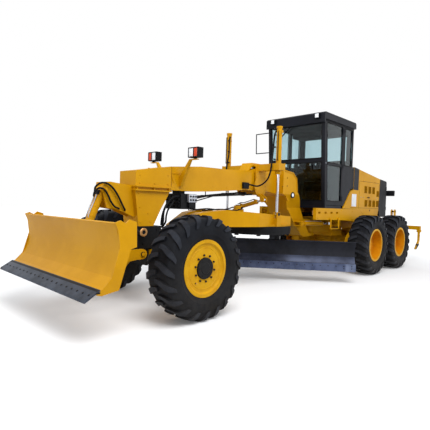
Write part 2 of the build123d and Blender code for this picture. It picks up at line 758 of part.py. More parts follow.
carrier_s = (454.0, 530.0)     # jaws, each side of the middle of the circle
with BuildPart() as blade_carrier:
    jaw_back = rail_back - running_gap
    for side in (1, -1):
        s_low, s_high = sorted((side * carrier_s[0], side * carrier_s[1]))
        blade_slab(
            [(rail_back + 36, rail_low_low - running_gap), (rail_back + 36, rail_low_low - 24),
             (jaw_back - 52, rail_low_low - 24), (tip_pin[0], tip_pin[1] - 48), (tip_pin[0], tip_pin[1] + 48),
             (jaw_back - 52, rail_top_high + 24), (rail_back + 36, rail_top_high + 24),
             (rail_back + 36, rail_top_high + running_gap), (jaw_back, rail_top_high + running_gap),
             (jaw_back, rail_low_low - running_gap)],
            s_low, s_high,
        )
    blade_bar(tip_pin[0], tip_pin[1], 48, -carrier_s[1], carrier_s[1])
    blade_bar(tip_pin[0], tip_pin[1], tip_pin_radius, -arm_s - arm_half - 14, arm_s + arm_half + 14)
    blade_bar(side_rod[0], side_rod[1], side_barrel_radius, -720, carrier_s[0] + 16)
    blade_bar(side_rod[0], side_rod[1], side_rod_radius + running_gap, -700, carrier_s[1] + 5,
              mode=Mode.SUBTRACT)
save(blade_carrier, "blade_carrier")

lift_gland_z = 2100.0
lift_top_z = 2937.0
lift_rod_top = 2725.0
with BuildPart() as lift_barrels:
    for side in (1, -1):
        bar((fa(saddle_x), side * lift_y, lift_gland_z), (fa(saddle_x), side * lift_y, lift_top_z),
            lift_barrel_radius)
        for low, high in ((lift_gland_z - 30, lift_gland_z + 18), (lift_top_z - 34, lift_top_z)):
            bar((fa(saddle_x), side * lift_y, low), (fa(saddle_x), side * lift_y, high), lift_barrel_radius + 7)
        block((fa(saddle_x - 22), fa(saddle_x + 22)), (side * (lift_y + 30), side * (lift_y + 66)),
              (lift_top_z - 120, lift_top_z - 76))
        bar(
            (fa(saddle_x), side * (lift_y - lift_barrel_radius - yoke_gap - yoke_plate), lift_trunnion_z),
            (fa(saddle_x), side * (lift_y + lift_barrel_radius + yoke_gap + yoke_plate), lift_trunnion_z),
            trunnion_radius,
        )
        bar(
            (fa(saddle_x), side * lift_y, lift_gland_z - 31), (fa(saddle_x), side * lift_y, lift_top_z - 20),
            lift_rod_radius + running_gap, mode=Mode.SUBTRACT,
        )
save(lift_barrels, "lift_barrels")

with BuildPart() as lift_rods:
    for side in (1, -1):
        eye(fa(saddle_x), lift_eye_z, lift_eye_radius, side * lift_y - lift_eye_thick / 2,
            side * lift_y + lift_eye_thick / 2)
        bar((fa(saddle_x), side * lift_y, lift_eye_z + 10), (fa(saddle_x), side * lift_y, lift_rod_top),
            lift_rod_radius)
    bore(fa(saddle_x), lift_eye_z, 20, -lift_y - 60, lift_y + 60)
save(lift_rods, "lift_rods")


def along_line(start, end, distance):
    """Point at a distance from start on the way to end."""
    step = (Vector(*end) - Vector(*start)).normalized()
    return tuple(Vector(*start) + step * distance)


def ram_barrel(foot, head, radius, rod_radius, shank_radius, near, far):
    """Cylinder barrel on the line from foot to head, bored for its rod from the head's side."""
    bar(foot, along_line(foot, head, near + 2), shank_radius)
    bar(along_line(foot, head, near), along_line(foot, head, far), radius)
    bar(along_line(foot, head, near + 20), along_line(foot, head, far + 1), rod_radius + running_gap,
        mode=Mode.SUBTRACT)


# centre-shift cylinder, from the drawbar up to the saddle
shift_foot = (fa(saddle_x), shift_drawbar_pin[0], shift_drawbar_pin[1])
shift_head = (fa(saddle_x), shift_saddle_pin[0], shift_saddle_pin[1])
with BuildPart() as shift_barrel:
    ram_barrel(shift_foot, shift_head, 38, 19, 18, 66, 500)
    with Locations(shift_foot):
        Sphere(shift_ball_radius)
save(shift_barrel, "shift_barrel")

with BuildPart() as shift_rod:
    bar(along_line(shift_foot, shift_head, 180), shift_head, 19)
    eye_start = Vector(*shift_head) - shift_pin_direction * (shift_eye / 2)
    eye_end = Vector(*shift_head) + shift_pin_direction * (shift_eye / 2)
    bar(tuple(eye_start), tuple(eye_end), 34)
    bar(tuple(eye_start * 2 - eye_end), tuple(eye_end * 2 - eye_start), 18 + running_gap, mode=Mode.SUBTRACT)
save(shift_rod, "shift_rod")

# frame-steering cylinders
for name, side in (("left", 1), ("right", -1)):
    foot = (fa(ram_front[0]), side * ram_front[1], ram_z)
    head = (fa(ram_rear[0]), side * ram_rear[1], ram_z)
    with BuildPart() as steer_barrel:
        ram_barrel(foot, head, 44, 24, 22, 66, 710)
        bar((foot[0], foot[1], ram_z - ram_eye / 2), (foot[0], foot[1], ram_z + ram_eye / 2), 40)
        bar((foot[0], foot[1], ram_z - 40), (foot[0], foot[1], ram_z + 40), 20 + running_gap,
            mode=Mode.SUBTRACT)
    save(steer_barrel, f"steer_barrel_{name}")
    with BuildPart() as steer_rod:
        bar(along_line(foot, head, 272), head, 24)
        bar((head[0], head[1], ram_z - ram_eye / 2), (head[0], head[1], ram_z + ram_eye / 2), 38)
        bar((head[0], head[1], ram_z - 40), (head[0], head[1], ram_z + 40), 20, mode=Mode.SUBTRACT)
    save(steer_rod, f"steer_rod_{name}")

# ---------------------------------------------------------------- front blade
front_half = 1230.0
end_plate = 20.0
blade_ram_foot = (1070.0, 900.0)           # rod pin of the front blade's cylinder
with BuildPart() as front_blade:
    with BuildSketch(side_plane(front_half)) as section:
        with BuildLine():
            ThreePointArc((fa(1290), 1268), (fa(1222), 1000), (fa(1310), 700))
            Polyline((fa(1310), 700), (fa(1400), 606), (fa(1488), 553))
        trace(line_width=22)
    extrude(section.sketch, amount=2 * front_half)
    for side in (1, -1):
        low, high = sorted((side * front_half, side * (front_half - end_plate)))
        side_slab(
            outline_at_front_axle(
                [(1478, 545), (1440, 535), (1240, 566), (1107, 985), (1032, 1006), (1040, 1275), (1129, 1303),
                 (1177, 1261), (1238, 1293), (1300, 1272), (1262, 1180), (1240, 1000), (1325, 705), (1410, 617)]
            ),
            low, high,
        )
    block((fa(1060), fa(1215)), (-front_half + 5, front_half - 5), (1180, 1240))
    block((fa(1230), fa(1330)), (-front_half + 5, front_half - 5), (600, 680))
    for side in (1, -1):
        low, high = sorted((side * arm_inner_y, side * arm_outer_y))
        side_slab(
            outline_at_front_axle([(230, 690), (330, 690), (1235, 580), (1250, 880), (1200, 1000), (1150, 1000),
                                   (1040, 830), (330, 830), (230, 830)]),
            low, high,
        )
        eye(fa(blade_pin[0]), blade_pin[1], 70, low, high)
        low, high = sorted((side * 39, side * 62))
        side_slab(
            outline_at_front_axle([(1240, 780), (1240, 1010), (1110, 960), (1030, 930), (1030, 870), (1110, 820)]),
            low, high,
        )
    block((fa(1120), fa(1170)), (-arm_outer_y, arm_outer_y), (600, 760))
    bore(fa(blade_pin[0]), blade_pin[1], blade_pin_radius + running_gap, -arm_outer_y - 20, arm_outer_y + 20)
save(front_blade, "front_blade")

with BuildPart() as front_edge:
    side_slab(
        outline_at_front_axle([(1451, 589), (1622, 486), (1612, 512), (1459, 603)]),
        -front_half, front_half,
    )
save(front_edge, "front_edge")

ram_top3 = (fa(blade_ram_top[0]), 0, blade_ram_top[1])
ram_foot3 = (fa(blade_ram_foot[0]), 0, blade_ram_foot[1])
with BuildPart() as blade_ram_barrel:
    ram_barrel(ram_top3, ram_foot3, 54, 27, 50, 30, 570)
    eye(ram_top3[0], ram_top3[2], 52, -68, 68)
    bore(ram_top3[0], ram_top3[2], 26 + running_gap, -80, 80)
save(blade_ram_barrel, "blade_ram_barrel")

with BuildPart() as blade_ram_rod:
    bar(along_line(ram_top3, ram_foot3, 190), ram_foot3, 27)
    eye(ram_foot3[0], ram_foot3[2], 40, -30, 30)
    bore(ram_foot3[0], ram_foot3[2], 20, -40, 40)
save(blade_ram_rod, "blade_ram_rod")

# ---------------------------------------------------------------- rear frame
rail_holes = (-3820, -4080, -4340, -4600)
with BuildPart() as rear_frame:
    block_low, block_high = lower_hinge[1] + 8, upper_hinge[0] - 8
    with BuildSketch(Plane.XY.offset(block_low)) as hinge_block:
        with Locations((hinge_x, 0)):
            Circle(hinge_boss_radius)
        with BuildLine():
            Polyline(
                (hinge_x, hinge_boss_radius - 2), (fa(-4960), 330), (fa(-4960), -330), (hinge_x, 2 - hinge_boss_radius),
                close=True,
            )
        make_face()
    extrude(hinge_block.sketch, amount=block_high - block_low)
    bar((hinge_x, 0, lower_hinge[0] - 14), (hinge_x, 0, upper_hinge[1] + 14), hinge_pin_radius)
    block((fa(-5450), fa(-4950)), (-frame_half_width, frame_half_width), (840, frame_top))
    for side in (1, -1):
        block((fa(-7400), fa(-5400)), (side * 300, side * frame_half_width), (frame_bottom, frame_top))
        low, high = sorted((side * (rail_outer_y - rail_thickness), side * rail_outer_y))
        side_slab(
            outline_at_front_axle(
                [(-3640, rail_top), (-3640, rail_bottom), (-4950, rail_bottom - 22), (-5590, 1172), (-6840, 1172),
                 (-6840, 1322), (-5974, 1322), (-5694, rail_top)]
            ),
            low, high,
        )
        for x_low in rail_holes:
            block((fa(x_low), fa(x_low + 90)), (side * (rail_outer_y - rail_thickness - 5), side * (rail_outer_y + 5)),
                  (1365, 1405), mode=Mode.SUBTRACT)
        block((fa(-5140), fa(-4990)), (side * 380, side * (rail_outer_y - 10)), (rail_bottom, rail_top - 20))
        for x_low in (-6820, -5900):
            block((fa(x_low), fa(x_low + 120)), (side * 380, side * (rail_outer_y - 10)), (1190, frame_top))
        for low in (ram_z - ram_eye / 2 - joint_gap - ram_lug, ram_z + ram_eye / 2 + joint_gap):
            with BuildSketch(Plane.XY.offset(low)) as lug:
                with BuildLine():
                    Polyline(
                        (fa(ram_rear[0]), side * (ram_rear[1] - 44)), (fa(ram_rear[0]), side * (ram_rear[1] + 44)),
                        (fa(-4960), side * (ram_rear[1] + 70)), (fa(-4960), side * (ram_rear[1] - 200)), close=True,
                    )
                make_face()
                with Locations((fa(ram_rear[0]), side * ram_rear[1])):
                    Circle(44)
            extrude(lug.sketch, amount=ram_lug)
        block((fa(-5060), fa(-4860)), (side * 330, side * 570), (1085, 1200))
    for x_low in (-7400, -6300):
        block((fa(x_low), fa(x_low + 140)), (-320, 320), (frame_bottom, frame_top))
    block((fa(-7445), fa(-7395)), (-520, 520), (660, 1270))
    for side in (1, -1):
        for y_low in (285, 361):
            side_slab(
                outline_at_front_axle([(-7430, 670), (-7430, 850), (-7560, 810), (-7605, 750), (-7560, 690)]),
                min(side * y_low, side * (y_low + 24)), max(side * y_low, side * (y_low + 24)),
            )
        side_slab(
            outline_at_front_axle([(-7430, 1060), (-7430, 1240), (-7520, 1200), (-7570, 1150), (-7520, 1100)]),
            min(side * 38, side * 60), max(side * 38, side * 60),
        )
    eye(fa(-7550), 750, 24, -400, -270)
    eye(fa(-7550), 750, 24, 270, 400)
    eye(fa(-7520), 1150, 22, -66, 66)
    for side in (1, -1):
        for x_end in (-4225, -4585):
            bar((fa(x_end), side * 745, 1250), (fa(x_end), side * 745, 1045), 16)
            bar((fa(x_end), side * 745, 1262), (fa(x_end), side * 710, 1262), 16)
        bar((fa(-4209), side * 745, 1045), (fa(-4601), side * 745, 1045), 16)
        for x_end in (-4225, -4585):
            with Locations((fa(x_end), side * 745, 1256)):
                Sphere(16)
save(rear_frame, "rear_frame")

with BuildPart() as rear_axle:
    bar((tandem_x, -case_inner_y - 10, tyre_radius), (tandem_x, case_inner_y + 10, tyre_radius), axle_tube_radius)
    with Locations((tandem_x, 0, tyre_radius)):
        Sphere(265)
    for side in (1, -1):
        block((tandem_x - 150, tandem_x + 150), (side * 310, side * 390), (tyre_radius, frame_bottom))
        with BuildSketch(side_plane(max(side * case_inner_y, side * case_outer_y))) as case:
            with Locations((tandem_x, tyre_radius)):
                SlotCenterToCenter(tandem_spacing, case_height)
        extrude(case.sketch, amount=case_outer_y - case_inner_y)
        for x in (tandem_x - tandem_spacing / 2, tandem_x + tandem_spacing / 2):
            bar((x, side * (case_outer_y - 10), tyre_radius),
                (x, side * (wheel_y + hub_rear_out - hub_wall - running_gap), tyre_radius), hub_bore_radius)
save(rear_axle, "rear_axle")

with BuildPart() as engine_block:
    block((fa(-6750), fa(-5700)), (-290, 290), (frame_top + 20, 2050))
    for side in (1, -1):
        block((fa(-6600), fa(-6500)), (side * 270, side * 380), (frame_top, frame_top + 140))
        block((fa(-5950), fa(-5850)), (side * 270, side * 380), (frame_top, frame_top + 140))
save(engine_block, "engine_block")

# ---------------------------------------------------------------- hood and rear grille
hood_front_x, hood_band_x, hood_rear_x = -5330.0, -5590.0, -6890.0
hood_front_z, hood_rear_z = 2458.0, 2282.0
hood_outline = [
    (-4826, 1488), (-5186, 1894), (-5330, 1930), (hood_front_x, hood_front_z), (hood_rear_x, hood_rear_z),
    (-6860, 1500), (-6800, 1322), (-5980, 1322), (-5700, 1480),
]
# louvres: x of the group's rear edge, slots in the group, bottom, top
louvres = [(-6590, 3, 1880, 2050), (-6870, 1, 1820, 1965), (-6630, 3, 1550, 1712), (-6870, 1, 1550, 1712)]
louvre_pitch = 240.0
louvre_width = 165.0
louvre_slots = 5

with BuildPart() as hood:
    side_slab(outline_at_front_axle(hood_outline), -hood_half_width, hood_half_width)
    cut_side_slab(
        outline_at_front_axle(
            [(-4000, 1200), (-4000, 2600), (hood_front_x, 2600), (hood_front_x, 1899), (hood_front_x - 30, 1899),
             (hood_front_x - 30, hood_front_z - 34),
             (hood_rear_x - 60, hood_rear_z - 37), (hood_rear_x - 60, 1200)]
        ),
        hood_wall - hood_half_width, hood_half_width - hood_wall,
    )
    for rear_x, groups, low, high in louvres:
        for group in range(groups):
            for slot in range(louvre_slots):
                x = fa(rear_x) + group * louvre_pitch + louvre_width * (slot + 0.5) / louvre_slots
                block((x - 9, x + 9), (-hood_half_width - 5, hood_half_width + 5), (low, high), mode=Mode.SUBTRACT)
save(hood, "hood")

grille_low, grille_half = 1290.0, 700.0
with BuildPart() as grille_housing:
    side_slab(
        outline_at_front_axle([(hood_rear_x - 4, hood_rear_z + 4), (-7360, 2248), (-7385, 2200), (-7385, grille_low),
                               (-6960, grille_low), (-6870, 1490)]),
        -grille_half - 12, grille_half + 12,
    )
    block((fa(-7330), fa(-7000)), (-grille_half + 40, grille_half - 40), (grille_low + 60, 2190), mode=Mode.SUBTRACT)
    block((fa(-7400), fa(-7300)), (-grille_half + 90, grille_half - 90), (grille_low + 110, 2150), mode=Mode.SUBTRACT)
    bar_count = 12
    for number in range(bar_count):
        z = grille_low + 110 + (2150 - grille_low - 110) * (number + 0.5) / bar_count
        block((fa(-7380), fa(-7340)), (-grille_half + 80, grille_half - 80), (z - 12, z + 12))
    for y in (-300, 0, 300):
        block((fa(-7362), fa(-7336)), (y - 15, y + 15), (grille_low + 105, 2155))
save(grille_housing, "grille_housing")

# ---------------------------------------------------------------- cab
cab_foot_z = 1540.0


def front_wall_x(z):
    """Outer face of the leaning front wall at a height."""
    lean = (cab_front_top_x - cab_front_x) / (cab_roof_z - cab_floor_z)
    return cab_front_x + (z - cab_floor_z) * lean


glass_low, glass_high = 2530.0, cab_roof_z - 80
window_foot, window_head = 2450.0, cab_roof_z - 45     # side windows
lower_glass_low, lower_glass_high = 1640.0, 2450.0
window_half = 640.0
floor_diag_x, floor_diag_top_x, floor_step_z = fa(-4735), fa(-5165), 1900.0
with BuildPart() as cab_floor:
    block((cab_front_x, fa(-4735)), (-cab_half_width, cab_half_width), (rail_top, cab_foot_z))
    side_slab(
        [(floor_diag_x + 30, rail_top), (floor_diag_top_x, floor_step_z - 10), (cab_rear_x, floor_step_z - 10),
         (cab_rear_x, floor_step_z + 45), (floor_diag_top_x + 30, floor_step_z + 45), (floor_diag_x + 30, cab_foot_z)],
        -cab_half_width + cab_wall + running_gap, cab_half_width - cab_wall - running_gap,
    )
    block((fa(-4720), fa(-4420)), (-190, 190), (cab_foot_z - 5, 1840))
save(cab_floor, "cab_floor")

side_inner = cab_half_width - cab_wall
mirror_tube = 11.0
with BuildPart() as cab_ends:
    side_slab(
        [(front_wall_x(cab_foot_z), cab_foot_z), (front_wall_x(cab_roof_z), cab_roof_z),
         (front_wall_x(cab_roof_z) - cab_wall, cab_roof_z), (front_wall_x(cab_foot_z) - cab_wall, cab_foot_z)],
        -cab_half_width, cab_half_width,
    )
    block((cab_rear_x, cab_rear_x + cab_wall), (-cab_half_width, cab_half_width), (floor_step_z + 45, cab_roof_z))
    for low, high in ((glass_low, glass_high), (lower_glass_low, lower_glass_high)):
        block((cab_front_x - 200, cab_front_top_x + 100), (-window_half, window_half), (low, high), mode=Mode.SUBTRACT)
    block((cab_rear_x - 10, cab_rear_x + 100), (-560, 560), (2480, glass_high - 10), mode=Mode.SUBTRACT)
    mirror_low, mirror_high = cab_roof_z - 620, cab_roof_z - 170
    corners = [(fa(-3800), 128 - cab_half_width, mirror_low), (fa(-3800), -281 - cab_half_width, mirror_low),
               (fa(-3800), -295 - cab_half_width, mirror_high), (fa(-3800), 110 - cab_half_width, mirror_high)]
    for start, end in zip(corners[:-1], corners[1:]):
        bar(start, end, mirror_tube)
    for corner in corners:
        with Locations(corner):
            Sphere(mirror_tube)
    for corner in (corners[0], corners[3]):
        bar(corner, (front_wall_x(corner[2]) - 8, 35 - cab_half_width, corner[2]), mirror_tube)
save(cab_ends, "cab_ends")

post_front_x = door_post_x + 28
quarter = [(fa(-4812), fa(-5180)), (window_foot, window_head)]
with BuildPart() as cab_sides:
    for side in (1, -1):
        low, high = sorted((side * side_inner, side * cab_half_width))
        side_slab(
            [(post_front_x, cab_foot_z), (fa(-4760), cab_foot_z), (fa(-4825), cab_foot_z), (fa(-5150), 1905),
             (cab_rear_x + cab_wall, floor_step_z + 45), (cab_rear_x + cab_wall, cab_roof_z),
             (post_front_x, cab_roof_z)],
            low, high,
        )
    block(quarter[0], (-cab_half_width - 5, cab_half_width + 5), quarter[1], mode=Mode.SUBTRACT)
save(cab_sides, "cab_sides")

pane_inset = 18.0
with BuildPart() as cab_glass:
    for low, high in ((glass_low, glass_high), (lower_glass_low, lower_glass_high)):
        low, high = low + running_gap, high - running_gap
        side_slab(
            [(front_wall_x(low) - pane_inset, low), (front_wall_x(high) - pane_inset, high),
             (front_wall_x(high) - pane_inset - glass, high), (front_wall_x(low) - pane_inset - glass, low)],
            running_gap - window_half, window_half - running_gap,
        )
    block((cab_rear_x + pane_inset, cab_rear_x + pane_inset + glass), (-560 + running_gap, 560 - running_gap),
          (2480 + running_gap, glass_high - 10 - running_gap))
    for side in (1, -1):
        y = side * (cab_half_width - pane_inset)
        block((quarter[0][0] - running_gap, quarter[0][1] + running_gap), (y, y - side * glass),
              (quarter[1][0] + running_gap, quarter[1][1] - running_gap))
save(cab_glass, "cab_glass")

with BuildPart() as cab_roof:
    side_slab(
        outline_at_front_axle(
            [(-3815, cab_roof_z - visor_drop), (-3815, cab_roof_top - 30), (-3850, cab_roof_top),
             (-5270, cab_roof_top), (-5305, cab_roof_top - 30), (-5305, cab_roof_z), (-3866, cab_roof_z),
             (-3856, cab_roof_z - visor_drop)]
        ),
        -cab_half_width - 22, cab_half_width + 22,
    )
save(cab_roof, "cab_roof")

for name, side in (("left", 1), ("right", -1)):
    low, high = sorted((side * side_inner, side * cab_half_width))
    rear_x = post_front_x + door_gap
    door_foot, door_head = cab_foot_z + door_gap, cab_roof_z - door_gap
    with BuildPart() as door:
        front_gap = cab_wall + door_gap
        side_slab(
            [(front_wall_x(door_foot) - front_gap, door_foot), (front_wall_x(door_head) - front_gap, door_head),
             (rear_x, door_head), (rear_x, door_foot)],
            low, high,
        )
        cut_side_slab(
            [(front_wall_x(window_foot) - front_gap - 45, window_foot),
             (front_wall_x(window_head) - front_gap - 45, window_head),
             (rear_x + 40, window_head), (rear_x + 40, window_foot)],
            low - 5, high + 5,
        )
        cut_side_slab(
            [(front_wall_x(lower_glass_low) - front_gap - 45, lower_glass_low), (front_wall_x(2400) - front_gap - 45, 2400),
             (rear_x + 40, 2400), (rear_x + 40, lower_glass_low)],
            low - 5, high + 5,
        )
        for z in (cab_foot_z + 160, 2420, cab_roof_z - 130):
            hinge_y = side * (cab_half_width + 10)
            bar((rear_x - 4, hinge_y, z - 50), (rear_x - 4, hinge_y, z + 50), 9)
            block((rear_x - 4, rear_x + 34), (side * cab_half_width, side * (cab_half_width + 9)), (z - 45, z + 45))
    save(door, f"door_{name}")
    with BuildPart() as door_glass:
        y_pane = sorted((side * (cab_half_width - pane_inset), side * (cab_half_width - pane_inset - glass)))
        for foot, head in ((window_foot, window_head), (lower_glass_low, 2400)):
            foot, head = foot + running_gap, head - running_gap
            side_slab(
                [(front_wall_x(foot) - front_gap - 45 - running_gap, foot),
                 (front_wall_x(head) - front_gap - 45 - running_gap, head),
                 (rear_x + 40 + running_gap, head), (rear_x + 40 + running_gap, foot)],
                *y_pane,
            )
    save(door_glass, f"door_glass_{name}")

with BuildPart() as seat:
    block((fa(-4780), fa(-4320)), (-240, 240), (1840.3, 1960))
    side_slab(outline_at_front_axle([(-4740, 1960), (-4640, 1960), (-4740, 2560), (-4840, 2560)]), -230, 230)
save(seat, "seat")

with BuildPart() as controls:
    side_slab(outline_at_front_axle([(-4110, cab_foot_z), (-4210, cab_foot_z), (-4290, 2180), (-4200, 2180)]), -90, 90)
    bar((fa(-4250), 0, 2170), (fa(-4330), 0, 2265), 22)
    with Locations(Plane(origin=(fa(-4335), 0, 2270), z_dir=(-0.6, 0, 0.8)).location):
        Torus(195, 14)
        Box(390, 22, 14)
    for side in (1, -1):
        for number in range(4):
            y = side * (150 + 45 * number)
            bar((fa(-4215), y, 2100), (fa(-4290), y, 2360), 7)
        block((fa(-4260), fa(-4170)), (side * 80, side * 315), (2060, 2120))
save(controls, "controls")

with BuildPart() as body_lamps:
    for y in (580, -530):
        block((fa(-3814.7), fa(-3765)), (y - 55, y + 55), (cab_roof_z + 10, cab_roof_z + 110))
    for side in (1, -1):
        block((fa(-7460), fa(-7385.3)), (side * 610, side * 640), (1930, 1990))
        block((fa(-7660), fa(-7460)), (side * 600, side * 640), (1940, 1980))
        block((fa(-7680), fa(-7610)), (side * 600, side * 830), (1930, 2010))
save(body_lamps, "body_lamps")

# ---------------------------------------------------------------- ripper
ripper_pin = (-7550.0, 750.0)
ripper_beam_x = -8800.0
ripper_half = 1200.0
hitch_hole = (-8680.0, 600.0)  # from the front axle and the middle
hitch_hole_radius = 28.0       # for a 55 mm hitch or tie-down pin
hitch_low, hitch_high = 965.0, 1005.0
ripper_ram_foot = (fa(-7520), 0, 1150)
ripper_ram_head = (fa(-8550), 0, 1400)
with BuildPart() as ripper:
    for side in (1, -1):
        low, high = sorted((side * 313, side * 357))
        side_slab(
            outline_at_front_axle([(-7530, 690), (-7530, 810), (-8200, 1010), (-8740, 1040), (-8740, 930), (-8200, 860)]),
            low, high,
        )
        eye(fa(ripper_pin[0]), ripper_pin[1], 60, low, high)
    bore(fa(ripper_pin[0]), ripper_pin[1], 24 + running_gap, -420, 420)
    block((fa(-8860), fa(-8740)), (-ripper_half, ripper_half), (930, 1040))
    for side in (1, -1):
        low, high = sorted((side * 39, side * 61))
        side_slab(
            outline_at_front_axle([(-8740, 930), (-8860, 930), (-8860, 1040), (-8640, 1440), (-8550, 1455),
                                   (-8500, 1390), (-8560, 1300), (-8700, 1040)]),
            low, high,
        )
    for y in (-1165, 0, 1165):
        side_slab(
            outline_at_front_axle([(-8860, 1040), (-8740, 1040), (-8740, 620), (-8600, 480), (-8505, 385), (-8540, 375),
                                   (-8740, 480), (-8830, 600)]),
            y - 22, y + 22,
        )
save(ripper, "ripper")

with BuildPart() as hitch_lugs:
    for side in (1, -1):
        with BuildSketch(Plane.XY.offset(hitch_low)) as lug:
            with Locations((fa(hitch_hole[0]), side * hitch_hole[1])):
                Circle(56)
            with Locations((fa((hitch_hole[0] - 8740) / 2), side * hitch_hole[1])):
                Rectangle(hitch_hole[0] + 8740, 112)
            with Locations((fa(hitch_hole[0]), side * hitch_hole[1])):
                Circle(hitch_hole_radius, mode=Mode.SUBTRACT)
        extrude(lug.sketch, amount=hitch_high - hitch_low)
save(hitch_lugs, "hitch_lugs")

with BuildPart() as ripper_barrel:
    ram_barrel(ripper_ram_foot, ripper_ram_head, 50, 26, 28, 70, 850)
    eye(ripper_ram_foot[0], ripper_ram_foot[2], 42, -29, 29)
    bore(ripper_ram_foot[0], ripper_ram_foot[2], 22 + running_gap, -40, 40)
save(ripper_barrel, "ripper_barrel")

with BuildPart() as ripper_rod:
    bar(along_line(ripper_ram_foot, ripper_ram_head, 145), ripper_ram_head, 26)
    eye(ripper_ram_head[0], ripper_ram_head[2], 38, -31, 31)
    bore(ripper_ram_head[0], ripper_ram_head[2], 18, -40, 40)
save(ripper_rod, "ripper_rod")
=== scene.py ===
"""Motor grader: paint, tyres, lamps, glass, hoses, trim and a studio stage, laid out as an add-on.

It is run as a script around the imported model, in metres: +X forward, +Y to the left, +Z up.
"""

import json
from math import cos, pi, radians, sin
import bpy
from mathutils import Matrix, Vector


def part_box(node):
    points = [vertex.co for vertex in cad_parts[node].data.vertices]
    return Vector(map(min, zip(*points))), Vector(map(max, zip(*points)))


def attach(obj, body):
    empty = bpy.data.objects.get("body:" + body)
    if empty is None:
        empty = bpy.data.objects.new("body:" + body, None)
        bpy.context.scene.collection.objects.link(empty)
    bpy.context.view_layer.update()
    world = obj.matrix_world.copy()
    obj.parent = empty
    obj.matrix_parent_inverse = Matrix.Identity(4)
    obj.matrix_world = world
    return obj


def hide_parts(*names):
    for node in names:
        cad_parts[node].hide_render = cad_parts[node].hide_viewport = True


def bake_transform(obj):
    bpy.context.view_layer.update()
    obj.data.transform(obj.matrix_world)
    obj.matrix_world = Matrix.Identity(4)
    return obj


bl_info = {
    "name": "Motor grader finish",
    "version": (1, 0, 0),
    "blender": (4, 5, 0),
    "location": "View3D > Sidebar > Grader",
    "description": "Finishes a motor grader: paint, tyres, lamps, glass, hoses, trim and a studio stage",
    "category": "Object",
}

import bmesh
import bpy
from mathutils import Matrix, Vector

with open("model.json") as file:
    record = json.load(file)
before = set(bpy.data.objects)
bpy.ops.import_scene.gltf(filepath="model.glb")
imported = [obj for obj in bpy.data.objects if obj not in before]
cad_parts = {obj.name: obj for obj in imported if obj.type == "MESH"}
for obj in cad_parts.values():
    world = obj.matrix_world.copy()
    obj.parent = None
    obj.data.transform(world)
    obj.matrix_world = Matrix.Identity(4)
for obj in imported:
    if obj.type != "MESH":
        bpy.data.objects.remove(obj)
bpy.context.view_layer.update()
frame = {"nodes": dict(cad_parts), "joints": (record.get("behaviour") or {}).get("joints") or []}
joints = {joint["name"]: joint for joint in frame["joints"]}
nodes = frame["nodes"]


def joint_at(name):
    """Place of a joint."""
    return Vector(joints[name]["pos_m"])


AXLE_X = joint_at("steer_left").x
WHEELS = ("front_left", "front_right", "middle_left", "middle_right", "rear_left", "rear_right")
LIFT = 0.0006                  # how far thin trim stands off the surface that it lies on
CIRCLE_X = -2.550              # middle of the circle
SADDLE_X = -2.415              # saddle with the yokes and the lift cylinders


def at(x, y, z):
    """Point given from the front axle, the middle and the ground."""
    return Vector((AXLE_X + x, y, z))


# ---------------------------------------------------------------- finishes
def linear(red, green, blue):
    """Linear colour of a display colour given in 0 to 255."""
    def channel(value):
        value /= 255
        return value / 12.92 if value <= 0.04045 else ((value + 0.055) / 1.055) ** 2.4
    return (channel(red), channel(green), channel(blue), 1.0)


